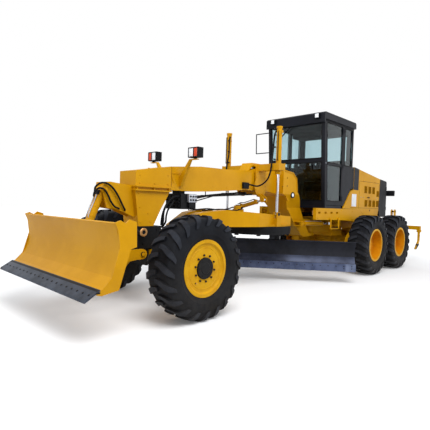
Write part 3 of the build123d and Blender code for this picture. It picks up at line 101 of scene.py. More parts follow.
# name: colour, darker patches, roughness, roughness spread, metal, patch size, grain size, grain depth, coat, dust
FINISHES = {
    "yellow_paint": ((203, 147, 7), (191, 136, 4), 0.38, 0.10, 0.0, 1.1, 420, 0.04, 0.02, 0.07),
    "yellow_rim": ((208, 156, 10), (196, 142, 6), 0.40, 0.10, 0.0, 4.0, 420, 0.05, 0.02, 0.05),
    "orange_rim": ((214, 142, 6), (198, 120, 4), 0.42, 0.10, 0.0, 4.0, 420, 0.05, 0.02, 0.05),
    "cab_paint": ((22, 24, 31), (16, 18, 24), 0.40, 0.12, 0.0, 1.5, 380, 0.05, 0.0, 0.03),
    # the next colour is a dark sheet behind the lower door glass: painted shade of the cab interior seen through it
    "shade_panel_grey": ((27, 29, 35), (21, 23, 28), 0.42, 0.12, 0.0, 1.8, 380, 0.05, 0.0, 0.04),
    "black_paint": ((19, 20, 23), (13, 14, 16), 0.48, 0.12, 0.0, 2.5, 380, 0.06, 0.0, 0.08),
    "blade_paint": ((35, 37, 45), (25, 27, 33), 0.42, 0.16, 0.25, 1.8, 260, 0.08, 0.0, 0.06),
    "edge_steel": ((62, 69, 82), (44, 50, 60), 0.42, 0.16, 0.50, 3.0, 300, 0.10, 0.0, 0.04),
    "worn_blue_steel": ((82, 92, 120), (58, 66, 90), 0.38, 0.16, 0.50, 3.5, 300, 0.10, 0.0, 0.03),
    "chrome": ((205, 207, 212), (180, 182, 188), 0.10, 0.06, 1.0, 6.0, 500, 0.01, 0.0, 0.0),
    "zinc": ((176, 180, 188), (142, 146, 156), 0.42, 0.15, 0.6, 9.0, 500, 0.04, 0.0, 0.0),
    "cast_iron": ((38, 38, 40), (27, 27, 29), 0.62, 0.12, 0.3, 5.0, 240, 0.30, 0.0, 0.08),
    "black_plastic": ((19, 20, 23), (13, 14, 16), 0.55, 0.12, 0.0, 4.0, 700, 0.12, 0.0, 0.03),
    "hose_rubber": ((14, 15, 18), (9, 10, 12), 0.50, 0.12, 0.0, 6.0, 900, 0.10, 0.0, 0.03),
    "tyre_rubber": ((21, 23, 28), (14, 15, 19), 0.66, 0.12, 0.0, 3.0, 330, 0.25, 0.0, 0.07),
    "lug_rubber": ((40, 43, 50), (28, 30, 36), 0.60, 0.12, 0.0, 5.0, 330, 0.25, 0.0, 0.09),
    "seat_cloth": ((26, 27, 31), (18, 19, 22), 0.85, 0.05, 0.0, 7.0, 900, 0.35, 0.0, 0.0),
    "white_plate": ((226, 228, 232), (212, 214, 220), 0.35, 0.05, 0.0, 6.0, 300, 0.02, 0.0, 0.0),
    # the next two: brown as painted shade on the hood's louvre fins (the same brown serves the nose's joint line and
    # some saddle bolts), and darker brown as painted shade inside the hood behind them
    "slot_brown": ((104, 60, 14), (78, 44, 10), 0.55, 0.10, 0.0, 3.0, 300, 0.05, 0.0, 0.0),
    "slot_shade_dark": ((40, 27, 16), (24, 18, 14), 0.70, 0.10, 0.0, 3.0, 300, 0.05, 0.0, 0.0),
    "band_grey": ((27, 29, 34), (20, 22, 26), 0.42, 0.12, 0.0, 3.0, 300, 0.05, 0.0, 0.03),
    "end_bit_steel": ((112, 122, 148), (84, 94, 118), 0.36, 0.16, 0.50, 5.0, 300, 0.10, 0.0, 0.03),
    "worn_band": ((56, 62, 80), (40, 44, 58), 0.40, 0.16, 0.40, 2.6, 260, 0.08, 0.0, 0.04),
    "brass": ((206, 158, 104), (176, 130, 80), 0.40, 0.12, 0.5, 9.0, 500, 0.04, 0.0, 0.0),
}
DUST = (150, 138, 118)
DUST_TOP, DUST_FOOT = 1.1, 0.1             # heights between which the dust fades in
GRAIN_DEPTH = 0.002
made_materials = {}


def node(tree, kind, values=None, **settings):
    """New shader node with its settings and the values of its inputs."""
    made = tree.nodes.new("ShaderNode" + kind)
    for name, value in settings.items():
        setattr(made, name, value)
    for name, value in (values or {}).items():
        made.inputs[name].default_value = value
    return made


def new_material(name):
    """Material, its tree, its shader and the place on the object that patterns follow."""
    material = made_materials[name] = bpy.data.materials.new(name)
    material.use_nodes = True
    tree = material.node_tree
    return material, tree, tree.nodes["Principled BSDF"], node(tree, "TexCoord").outputs["Object"]


def add_bump(tree, shader, noise, strength):
    """Relief on a shader that follows a noise."""
    bump = node(tree, "Bump", {"Strength": strength, "Distance": GRAIN_DEPTH})
    tree.links.new(noise.outputs["Fac"], bump.inputs["Height"])
    tree.links.new(bump.outputs["Normal"], shader.inputs["Normal"])


def finish(name):
    """Painted, moulded or cast surface: two shades in soft patches, a fine grain, dust low down."""
    if name in made_materials:
        return made_materials[name]
    colour, patches, rough, spread, metal, patch, grain, depth, coat, dust = FINISHES[name]
    material, tree, shader, place = new_material(name)
    link = tree.links.new
    cloud = node(tree, "TexNoise", {"Scale": patch, "Detail": 6.0, "Roughness": 0.62})
    link(place, cloud.inputs["Vector"])
    shades = node(tree, "Mix", {"A": linear(*patches), "B": linear(*colour)}, data_type="RGBA")
    contrast = node(tree, "MapRange", {"From Min": 0.36, "From Max": 0.56})
    link(cloud.outputs["Fac"], contrast.inputs["Value"])
    link(contrast.outputs["Result"], shades.inputs["Factor"])
    result = shades.outputs["Result"]
    if dust:
        height = node(tree, "SeparateXYZ")
        link(place, height.inputs["Vector"])
        low = node(tree, "MapRange", {"From Min": DUST_TOP, "From Max": DUST_FOOT, "To Max": dust})
        link(height.outputs["Z"], low.inputs["Value"])
        specks = node(tree, "TexNoise", {"Scale": 14.0, "Detail": 8.0})
        link(place, specks.inputs["Vector"])
        amount = node(tree, "Math", operation="MULTIPLY")
        link(low.outputs["Result"], amount.inputs[0])
        link(specks.outputs["Fac"], amount.inputs[1])
        dusty = node(tree, "Mix", {"B": linear(*DUST)}, data_type="RGBA")
        link(amount.outputs["Value"], dusty.inputs["Factor"])
        link(result, dusty.inputs["A"])
        result = dusty.outputs["Result"]
    link(result, shader.inputs["Base Color"])
    sheen = node(tree, "MapRange", {"To Min": rough + spread, "To Max": rough - spread})
    link(cloud.outputs["Fac"], sheen.inputs["Value"])
    link(sheen.outputs["Result"], shader.inputs["Roughness"])
    grains = node(tree, "TexNoise", {"Scale": grain, "Detail": 3.0})
    link(place, grains.inputs["Vector"])
    add_bump(tree, shader, grains, depth)
    shader.inputs["Metallic"].default_value = metal
    shader.inputs["Specular IOR Level"].default_value = 0.10
    shader.inputs["Coat Weight"].default_value = coat
    shader.inputs["Coat Roughness"].default_value = 0.12
    return material


GLASS_IOR = 1.32               # thin safety glass gives back less than a solid block
# name: colour, transmission, roughness, glow
CLEAR_FINISHES = {
    "tinted_glass": ((206, 225, 229), 1.0, 0.02, 0.0),
    "lamp_glass": ((236, 240, 244), 0.20, 0.10, 0.30),
    "amber_lens": ((222, 74, 34), 0.15, 0.14, 0.10),
    "red_lens": ((190, 20, 14), 0.25, 0.12, 0.05),
    "mirror_silver": ((225, 228, 232), 0.0, 0.03, 0.0),
}


def clear_finish(name):
    """Glass, lens or mirror, with a faint ripple."""
    if name in made_materials:
        return made_materials[name]
    colour, transmission, rough, glow = CLEAR_FINISHES[name]
    material, tree, shader, place = new_material(name)
    ripple = node(tree, "TexNoise", {"Scale": 2.2})
    tree.links.new(place, ripple.inputs["Vector"])
    add_bump(tree, shader, ripple, 0.02)
    shader.inputs["Base Color"].default_value = linear(*colour)
    shader.inputs["Transmission Weight"].default_value = transmission
    shader.inputs["IOR"].default_value = GLASS_IOR
    shader.inputs["Roughness"].default_value = rough
    shader.inputs["Metallic"].default_value = 1.0 if name == "mirror_silver" else 0.0
    shader.inputs["Emission Color"].default_value = linear(*colour)
    shader.inputs["Emission Strength"].default_value = glow
    return material


# ---------------------------------------------------------------- making pieces
def mark(faces, material_index):
    """Gives faces their material number."""
    for face in faces:
        face.material_index = material_index


def put(name, bm, body, finishes, smooth_angle=35.0):
    """Object from a bmesh that rides on a body, if one is named; faces keep their material numbers."""
    mesh = bpy.data.meshes.new(name)
    bm.to_mesh(mesh)
    bm.free()
    piece = bpy.data.objects.new(name, mesh)
    bpy.context.scene.collection.objects.link(piece)
    for finish_name in finishes:
        made = clear_finish if finish_name in CLEAR_FINISHES else finish
        mesh.materials.append(made(finish_name))
    mesh.shade_smooth()
    mesh.set_sharp_from_angle(angle=radians(smooth_angle))
    if body:
        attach(piece, body)
    return piece


def lathe(bm, profile, centre, side=1, steps=64, closed=False, material_index=0):
    """Turns a profile of (outward distance, radius) about a line across the machine."""
    verts = [bm.verts.new(centre + Vector((0, side * out, radius))) for out, radius in profile]
    edges = [bm.edges.new(pair) for pair in zip(verts, verts[1:])]
    if closed:
        edges.append(bm.edges.new((verts[-1], verts[0])))
    faces_before = set(bm.faces)
    bmesh.ops.spin(
        bm, geom=verts + edges, cent=centre, axis=(0, 1, 0), angle=2 * pi, steps=steps, use_merge=True
    )
    bmesh.ops.remove_doubles(bm, verts=bm.verts[:], dist=1e-6)
    made = [face for face in bm.faces if face not in faces_before]
    mark(made, material_index)
    bmesh.ops.recalc_face_normals(bm, faces=bm.faces[:])


def frame_on(point, direction):
    """Matrix that stands local Z on a point along a direction."""
    return Matrix.Translation(point) @ Vector(direction).to_track_quat("Z", "Y").to_matrix().to_4x4()


def rod(bm, start, end, radius, segments=16, material_index=0):
    """Closed round rod between two points."""
    start, end = Vector(start), Vector(end)
    made = bmesh.ops.create_cone(
        bm, cap_ends=True, segments=segments, radius1=radius, radius2=radius, depth=(end - start).length,
        matrix=frame_on((start + end) / 2, end - start),
    )
    mark({face for vert in made["verts"] for face in vert.link_faces}, material_index)


def hex_head(bm, point, direction, radius, height, material_index=0):
    """Bolt head or nut that stands on a surface."""
    direction = Vector(direction).normalized()
    made = bmesh.ops.create_cone(
        bm, cap_ends=True, segments=6, radius1=radius, radius2=radius * 0.9, depth=height,
        matrix=frame_on(Vector(point) + direction * height / 2, direction),
    )
    mark({face for vert in made["verts"] for face in vert.link_faces}, material_index)


def side_bolts(bm, side, y, places, radius, height, material_index=0):
    """Bolt heads on a face that looks sideways, at pairs of x and z."""
    for x, z in places:
        hex_head(bm, at(x, side * y, z), (0, side, 0), radius, height, material_index)


def box_between(bm, low, high, bevel=0.0, material_index=0, matrix=Matrix.Identity(4)):
    """Box between two corners, with its edges rounded."""
    low, high = Vector(low), Vector(high)
    middle, size = (low + high) / 2, high - low
    faces_before = set(bm.faces)
    made = bmesh.ops.create_cube(
        bm, size=1.0, matrix=matrix @ Matrix.Translation(middle) @ Matrix.Diagonal((*(abs(s) for s in size), 1.0))
    )
    if bevel:
        edges = {edge for vert in made["verts"] for edge in vert.link_edges}
        bmesh.ops.bevel(bm, geom=list(edges), offset=bevel, segments=2, affect="EDGES", profile=0.5, material=-1)
    mark([face for face in bm.faces if face not in faces_before], material_index)


def prism(bm, outline, depth, material_index=0):
    """Closed plate: a flat outline pushed along a depth vector."""
    near = [bm.verts.new(point) for point in outline]
    far = [bm.verts.new(Vector(point) + depth) for point in outline]
    faces = [bm.faces.new(near), bm.faces.new(reversed(far))]
    count = len(near)
    for number in range(count):
        ahead = (number + 1) % count
        faces.append(bm.faces.new((near[number], far[number], far[ahead], near[ahead])))
    bmesh.ops.recalc_face_normals(bm, faces=faces)
    mark(faces, material_index)


def seal(bm, corners, out, inner=0.012, outer=0.014, height=0.005, material_index=0):
    """Rubber seal round a window: a mitred frame that stands off the panel."""
    count = len(corners)
    middle = sum(corners, Vector()) / count
    rings = []
    for number, corner in enumerate(corners):
        before = (corner - corners[number - 1]).normalized()
        after = (corners[(number + 1) % count] - corner).normalized()
        square = [edge.cross(out) for edge in (before, after)]
        square = [side if side.dot(middle - corner) > 0 else -side for side in square]
        mitre = (square[0] + square[1]).normalized()
        mitre /= mitre.dot(square[0])
        outward, inward = corner - mitre * outer, corner + mitre * inner
        rings.append([outward - out * 0.001, outward + out * height * 0.6, outward + mitre * 0.004 + out * height,
                      inward - mitre * 0.003 + out * height, inward + out * height * 0.4, inward - out * 0.010])
    verts = [[bm.verts.new(place) for place in ring] for ring in rings]
    faces = []
    for number in range(count):
        ring, ahead = verts[number], verts[(number + 1) % count]
        for step in range(len(ring)):
            after = (step + 1) % len(ring)
            faces.append(bm.faces.new((ring[step], ring[after], ahead[after], ahead[step])))
    bmesh.ops.recalc_face_normals(bm, faces=faces)
    mark(faces, material_index)


def window_rim(bm, x, y_range, z_range, width, depth, material_index=0):
    """Four bars round a lens that faces along the machine."""
    low_y, high_y = y_range
    low_z, high_z = z_range
    for y_from, y_to, z_from, z_to in (
        (low_y - width, high_y + width, low_z - width, low_z), (low_y - width, high_y + width, high_z, high_z + width),
        (low_y - width, low_y, low_z, high_z), (high_y, high_y + width, low_z, high_z),
    ):
        box_between(bm, at(x - 0.002, y_from, z_from), at(x + depth, y_to, z_to), 0.0025, material_index)


def tube(bm, points, radius, sides=12, material_index=0, side=1):
    """Hose or pipe on a smooth line through vectors, or through points given as for at, mirrored by side."""
    steps = 6
    points = [point if isinstance(point, Vector) else at(point[0], side * point[1], point[2]) for point in points]
    path = []
    for number in range(len(points) - 1):
        start, end = points[number], points[number + 1]
        before = points[max(0, number - 1)]
        after = points[min(len(points) - 1, number + 2)]
        span = (end - start).length
        leave = (end - before) * (span / max((start - before).length + span, 1e-6))
        arrive = (after - start) * (span / max((after - end).length + span, 1e-6))
        for step in range(steps):
            t = step / steps
            path.append(
                start * (2 * t ** 3 - 3 * t ** 2 + 1) + leave * (t ** 3 - 2 * t ** 2 + t)
                + end * (3 * t ** 2 - 2 * t ** 3) + arrive * (t ** 3 - t ** 2)
            )
    path.append(points[-1])
    across = (path[1] - path[0]).orthogonal().normalized()
    rings = []
    for number, place in enumerate(path):
        heading = (path[min(number + 1, len(path) - 1)] - path[max(number - 1, 0)]).normalized()
        across = (across - heading * across.dot(heading)).normalized()
        third = heading.cross(across)
        rings.append([
            bm.verts.new(place + (across * cos(2 * pi * turn / sides) + third * sin(2 * pi * turn / sides)) * radius)
            for turn in range(sides)
        ])
    faces = [bm.faces.new(reversed(rings[0])), bm.faces.new(rings[-1])]
    for ring, ahead in zip(rings, rings[1:]):
        for turn in range(sides):
            after = (turn + 1) % sides
            faces.append(bm.faces.new((ring[turn], ring[after], ahead[after], ahead[turn])))
    mark(faces, material_index)


def put_between(name, bm, finishes):
    """Piece that lies between two bodies joined by a joint, on neither of them, with its placing baked into its mesh.
    """
    piece = put(name, bm, None, finishes)
    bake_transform(piece)
    return piece


# ---------------------------------------------------------------- sizes that a user would change
class GraderTyreSizes(bpy.types.PropertyGroup):
    """Sizes of the tread."""

    lugs: bpy.props.IntProperty(name="Lugs", description="Lugs on each half of the tread", default=20, min=8)
    lug_height: bpy.props.FloatProperty(
        name="Lug height", description="Height of a lug at the crown", default=0.030, unit="LENGTH"
    )
    lug_width: bpy.props.FloatProperty(
        name="Lug width", description="Width of a lug at the shoulder", default=0.088, unit="LENGTH"
    )
    sweep: bpy.props.FloatProperty(
        name="Sweep", description="Angle by which a lug trails at the shoulder", default=radians(13), subtype="ANGLE"
    )


class GraderStageSizes(bpy.types.PropertyGroup):
    """Light and camera."""

    lens: bpy.props.FloatProperty(name="Lens", description="Focal length in millimetres", default=32.36)
    key_power: bpy.props.FloatProperty(name="Key light", description="Power of the main light", default=1040.0)
    fill_power: bpy.props.FloatProperty(name="Fill light", description="Power of the side light", default=260.0)
    sky: bpy.props.FloatProperty(name="Sky", description="Strength of the light from all round", default=0.54)


# ---------------------------------------------------------------- painted CAD parts
NODE_FINISHES = {
    "cab_ends": "cab_paint", "cab_sides": "cab_paint", "cab_floor": "cab_paint", "cab_roof": "cab_paint",
    "door_left": "cab_paint", "door_right": "cab_paint", "cab_glass": "tinted_glass",
    "door_glass_left": "tinted_glass", "door_glass_right": "tinted_glass", "axle_bracket": "black_paint",
    "grille_housing": "black_paint", "engine_block": "cast_iron", "moldboard": "blade_paint",
    "cutting_edge": "worn_blue_steel", "front_edge": "edge_steel", "blade_carrier": "black_paint",
    "circle": "black_paint", "lift_rods": "chrome", "shift_rod": "chrome", "steer_rod_left": "chrome",
    "steer_rod_right": "chrome", "blade_ram_rod": "chrome", "ripper_rod": "chrome", "seat": "seat_cloth",
    "controls": "black_plastic", "body_lamps": "black_plastic", "headlamps": "black_plastic",
    "hydraulics": "black_paint",
}


class GRADER_OT_paint(bpy.types.Operator):
    """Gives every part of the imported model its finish"""

    bl_idname = "grader.paint"
    bl_label = "Paint the parts"

    def execute(self, context):
        for name, piece in nodes.items():
            chosen = NODE_FINISHES.get(name, "yellow_paint")
            if name.startswith("tyre_"):
                chosen = "tyre_rubber"
            elif name.startswith("rim_"):
                chosen = "yellow_rim" if "front" in name else "orange_rim"
            made = clear_finish if chosen in CLEAR_FINISHES else finish
            for slot in piece.material_slots:
                slot.material = made(chosen)
        return {"FINISHED"}


# ---------------------------------------------------------------- tyres
CROWN_HALF = 0.160             # half width of the flat crown
SHOULDER_RADIUS = 0.040
LUG_ROOT = 0.006               # how deep a lug's foot lies in the carcass


def carcass_at(share, crown_radius):
    """Point and outward normal on the carcass, from the middle of the tread (0) down the side (1)."""
    crown_end, shoulder_end = 0.58, 0.80
    drop = 0.006
    corner_radius = crown_radius - drop - SHOULDER_RADIUS
    last = radians(10)
    if share < crown_end:
        part = share / crown_end
        return Vector((part * CROWN_HALF, crown_radius - drop * part * part)), Vector((0, 1))
    if share < shoulder_end:
        turn = pi / 2 - (pi / 2 - last) * (share - crown_end) / (shoulder_end - crown_end)
        normal = Vector((cos(turn), sin(turn)))
        return Vector((CROWN_HALF, corner_radius)) + normal * SHOULDER_RADIUS, normal
    part = (share - shoulder_end) / (1 - shoulder_end)
    start = Vector((CROWN_HALF + cos(last) * SHOULDER_RADIUS, corner_radius + sin(last) * SHOULDER_RADIUS))
    return start + Vector((0.008, -0.060)) * part, Vector((cos(last), sin(last)))


def lug_blank():
    """Unit block, cut along its length, that every lug is bent from."""
    bm = bmesh.new()
    bmesh.ops.create_cube(bm, size=1.0)
    long_edges = [edge for edge in bm.edges if abs(edge.verts[0].co.x - edge.verts[1].co.x) > 0.5]
    bmesh.ops.subdivide_edges(bm, edges=long_edges, cuts=8, use_grid_fill=True)
    for face in bm.faces:
        face.material_index = 1 if all(vert.co.z > 0.4 for vert in face.verts) else 0
    blank = bpy.data.meshes.new("lug_blank")
    bm.to_mesh(blank)
    bm.free()
    return blank


def add_lug(bm, blank, centre, side, angle, crown_radius, sizes):
    """One curved lug from the middle of the tread over the shoulder."""
    first = len(bm.verts)
    bm.from_mesh(blank)
    bm.verts.ensure_lookup_table()
    inner_width = sizes.lug_width * 0.62
    for vert in bm.verts[first:]:
        share = max(0.0, vert.co.x + 0.5)
        point, normal = carcass_at(share, crown_radius)
        height = sizes.lug_height * (1.0 if share < 0.58 else max(0.28, 1.0 - 1.25 * (share - 0.58)))
        width = inner_width + (sizes.lug_width - inner_width) * min(1.0, share / 0.5)
        if share > 0.8:
            width *= 1.0 - 1.3 * (share - 0.8)
        if vert.co.z > 0:
            place = point + normal * height
            width *= 0.86
        else:
            place = point - normal * LUG_ROOT
        out = place.x - (0.012 if share < 0.05 else 0.0)
        turn = angle - sizes.sweep * share ** 1.7 + vert.co.y * width / crown_radius
        vert.co = centre + Vector((place.y * cos(turn), side * out, place.y * sin(turn)))
    return bm.verts[first:]


class GRADER_OT_tyres(bpy.types.Operator):
    """Makes the six tyres with their curved lugs"""

    bl_idname = "grader.tyres"
    bl_label = "Tyres"

    def execute(self, context):
        sizes = context.scene.grader_tyres
        blank = lug_blank()
        for wheel in WHEELS:
            low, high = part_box("tyre_" + wheel)
            centre = (low + high) / 2
            outer = (high.z - low.z) / 2
            crown = outer - sizes.lug_height
            half = (high.y - low.y) / 2
            rim_low, rim_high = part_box("rim_" + wheel)
            rim_radius = (rim_high.z - rim_low.z) / 2
            rim_half = (rim_high.y - rim_low.y) / 2
            bead = rim_radius - 0.030
            bm = bmesh.new()
            tread = [carcass_at(step / 14, crown)[0] for step in range(15)]
            wall = [
                (half - 0.010, outer * 0.76), (half - 0.012, outer * 0.70), (half - 0.018, outer * 0.645),
                (half - 0.022, outer * 0.64), (half - 0.030, outer * 0.60), (rim_half - 0.002, rim_radius + 0.016),
                (rim_half - 0.004, rim_radius + 0.002), (rim_half - 0.013, rim_radius - 0.004),
                (rim_half - 0.014, bead + 0.001),
            ]
            outline = [(point.x, point.y) for point in tread] + wall
            mirrored = [(-out, radius) for out, radius in reversed(outline)]
            for side in (1, -1):
                for number in range(sizes.lugs):
                    angle = 2 * pi * (number + (0.5 if side > 0 else 0.0)) / sizes.lugs
                    verts = add_lug(bm, blank, centre, side, angle, crown, sizes)
                    faces = {face for vert in verts for face in vert.link_faces}
                    bmesh.ops.recalc_face_normals(bm, faces=list(faces))
            lathe(bm, mirrored[:-1] + outline, centre, steps=88, closed=True)
            piece = put(f"tyre_tread_{wheel}", bm, f"wheel_{wheel}", ["tyre_rubber", "lug_rubber"], 40)
            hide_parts("tyre_" + wheel)
        return {"FINISHED"}


# ---------------------------------------------------------------- wheel trim
NUTS = 10
NUT_CIRCLE = 0.170
FRONT_DISC, REAR_DISC = 0.152, -0.046      # outer face of a wheel's disc from the wheel's middle
FRONT_HUB, REAR_HUB = 0.172, 0.026         # outer face of its hub


def on_wheel(centre, side, out, radius, angle):
    """Point given from a wheel's middle: outwards, from the axis and round it."""
    return centre + Vector((radius * cos(angle), side * out, radius * sin(angle)))


class GRADER_OT_wheels(bpy.types.Operator):
    """Adds hub covers, nuts, pressed rings and valves to the wheels"""

    bl_idname = "grader.wheels"
    bl_label = "Wheel trim"

    def execute(self, context):
        for wheel in WHEELS:
            low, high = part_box("rim_" + wheel)
            centre = (low + high) / 2
            side = 1 if centre.y > 0 else -1
            out = Vector((0, side, 0))
            steered = wheel.startswith("front")
            disc, hub = (FRONT_DISC, FRONT_HUB) if steered else (REAR_DISC, REAR_HUB)
            paint = "yellow_rim" if steered else "orange_rim"
            bm = bmesh.new()
            # pressed ring near the edge of the disc
            lathe(bm, [(disc - 0.003, 0.256), (disc + 0.0035, 0.262), (disc + 0.0035, 0.268), (disc - 0.003, 0.275)],
                  centre, side, 72, True, 0)
            # cover of the hub, with a stepped cap
            cover = [(disc - 0.004, 0.1400), (disc + 0.004, 0.1400), (hub + 0.0015, 0.1330), (hub + 0.0015, 0.078),
                     (hub + 0.007, 0.072), (hub + 0.007, 0.0), (disc - 0.004, 0.0)]
            lathe(bm, cover, centre, side, 48, True, 1)
            if not steered:
                lathe(bm, [(0.1700, 0.3262), (0.1795, 0.3262), (0.1795, 0.3675), (0.1783, 0.3683), (0.1783, 0.3275),
                           (0.1700, 0.3275)], centre, side, 72, True, 5)
            for number in range(NUTS):
                angle = 2 * pi * (number + 0.3) / NUTS
                seat = on_wheel(centre, side, disc - 0.001, NUT_CIRCLE, angle)
                rod(bm, seat, seat + out * 0.003, 0.019, 16, 0)
                hex_head(bm, seat + out * 0.002, out, 0.0145, 0.015, 2)
                rod(bm, seat + out * 0.012, seat + out * 0.024, 0.007, 10, 2)
            for number in range(6):
                angle = 2 * pi * number / 6
                hex_head(bm, on_wheel(centre, side, hub + 0.001, 0.105, angle), out, 0.008, 0.006, 1)
            valve = on_wheel(centre, side, disc - 0.001, 0.232, radians(-48))
            rod(bm, valve, valve + out * 0.012, 0.009, 12, 3)
            rod(bm, valve + out * 0.010, valve + out * 0.030, 0.005, 10, 4)
            cap = "black_paint" if steered else paint
            put(f"wheel_trim_{wheel}", bm, f"wheel_{wheel}", [
                paint, cap, "cast_iron", "black_plastic", "brass", "yellow_rim",
            ])
        return {"FINISHED"}


# ---------------------------------------------------------------- lamps
class GRADER_OT_lamps(bpy.types.Operator):
    """Adds lenses and rims to the lamps"""

    bl_idname = "grader.lamps"
    bl_label = "Lamps"

    def execute(self, context):
        bm = bmesh.new()
        face = -0.417
        for side in (1, -1):
            # columns: from and to across the machine, material
            for y_from, y_to, chosen in ((0.402, 0.500, 1), (0.512, 0.586, 2)):
                y_low, y_high = sorted((side * y_from, side * y_to))
                box_between(bm, at(face - 0.004, y_low, 2.184), at(face + 0.006, y_high, 2.306), 0.004, chosen)
                window_rim(bm, face, (y_low, y_high), (2.184, 2.306), 0.010, 0.012, 0)
            rod(bm, at(-0.457, side * 0.506, 2.148), at(-0.457, side * 0.506, 2.166), 0.026, 16, 0)
            for z_fin in (2.19, 2.215, 2.24, 2.265, 2.29):
                box_between(bm, at(-0.5315, side * 0.404, z_fin), at(-0.526, side * 0.578, z_fin + 0.006))
        put("headlamp_lenses", bm, "front_frame", ["black_plastic", "lamp_glass", "amber_lens"])

        bm = bmesh.new()
        for y in (0.580, -0.530):
            box_between(bm, at(-3.768, y - 0.043, 3.348), at(-3.760, y + 0.043, 3.432), 0.004, 1)
            window_rim(bm, -3.765, (y - 0.043, y + 0.043), (3.348, 3.432), 0.009, 0.009, 0)
        for side in (1, -1):
            box_between(bm, at(-7.6755, side * 0.598, 1.868), at(-7.604, side * 0.832, 2.018), 0.010, 0)
            for y_from, y_to, chosen in ((0.606, 0.714, 2), (0.720, 0.824, 3)):
                box_between(bm, at(-7.686, side * y_from, 1.936), at(-7.676, side * y_to, 2.004), 0.004, chosen)
        put("body_lamp_lenses", bm, "rear_frame", ["black_plastic", "lamp_glass", "red_lens", "amber_lens"])

        bm = bmesh.new()
        for side in (1, -1):
            middle = at(-3.328, side * 0.335, 1.726)
            lathe(bm, [(-0.010, 0.0), (-0.010, 0.044), (0.004, 0.060), (0.016, 0.064), (0.024, 0.060), (0.024, 0.040),
                       (0.016, 0.038), (0.016, 0.0)], middle, side, 32, True, 0)
            lathe(bm, [(0.014, 0.0), (0.014, 0.0375), (0.020, 0.036), (0.024, 0.020), (0.025, 0.0)], middle, side, 32,
                  True, 1)
        put("neck_lamps", bm, "front_frame", ["black_plastic", "lamp_glass"])
        return {"FINISHED"}


# ---------------------------------------------------------------- cab trim
PANE_HALF = 0.640              # half width of the front panes
CAB_HALF = 0.715


def cab_front_x(z):
    """Outer face of the leaning front wall at a height."""
    return -3.995 + (z - 1.500) * 0.125 / 1.830


def door_front_x(z):
    """Front edge of the door's windows at a height."""
    return cab_front_x(z) - 0.098


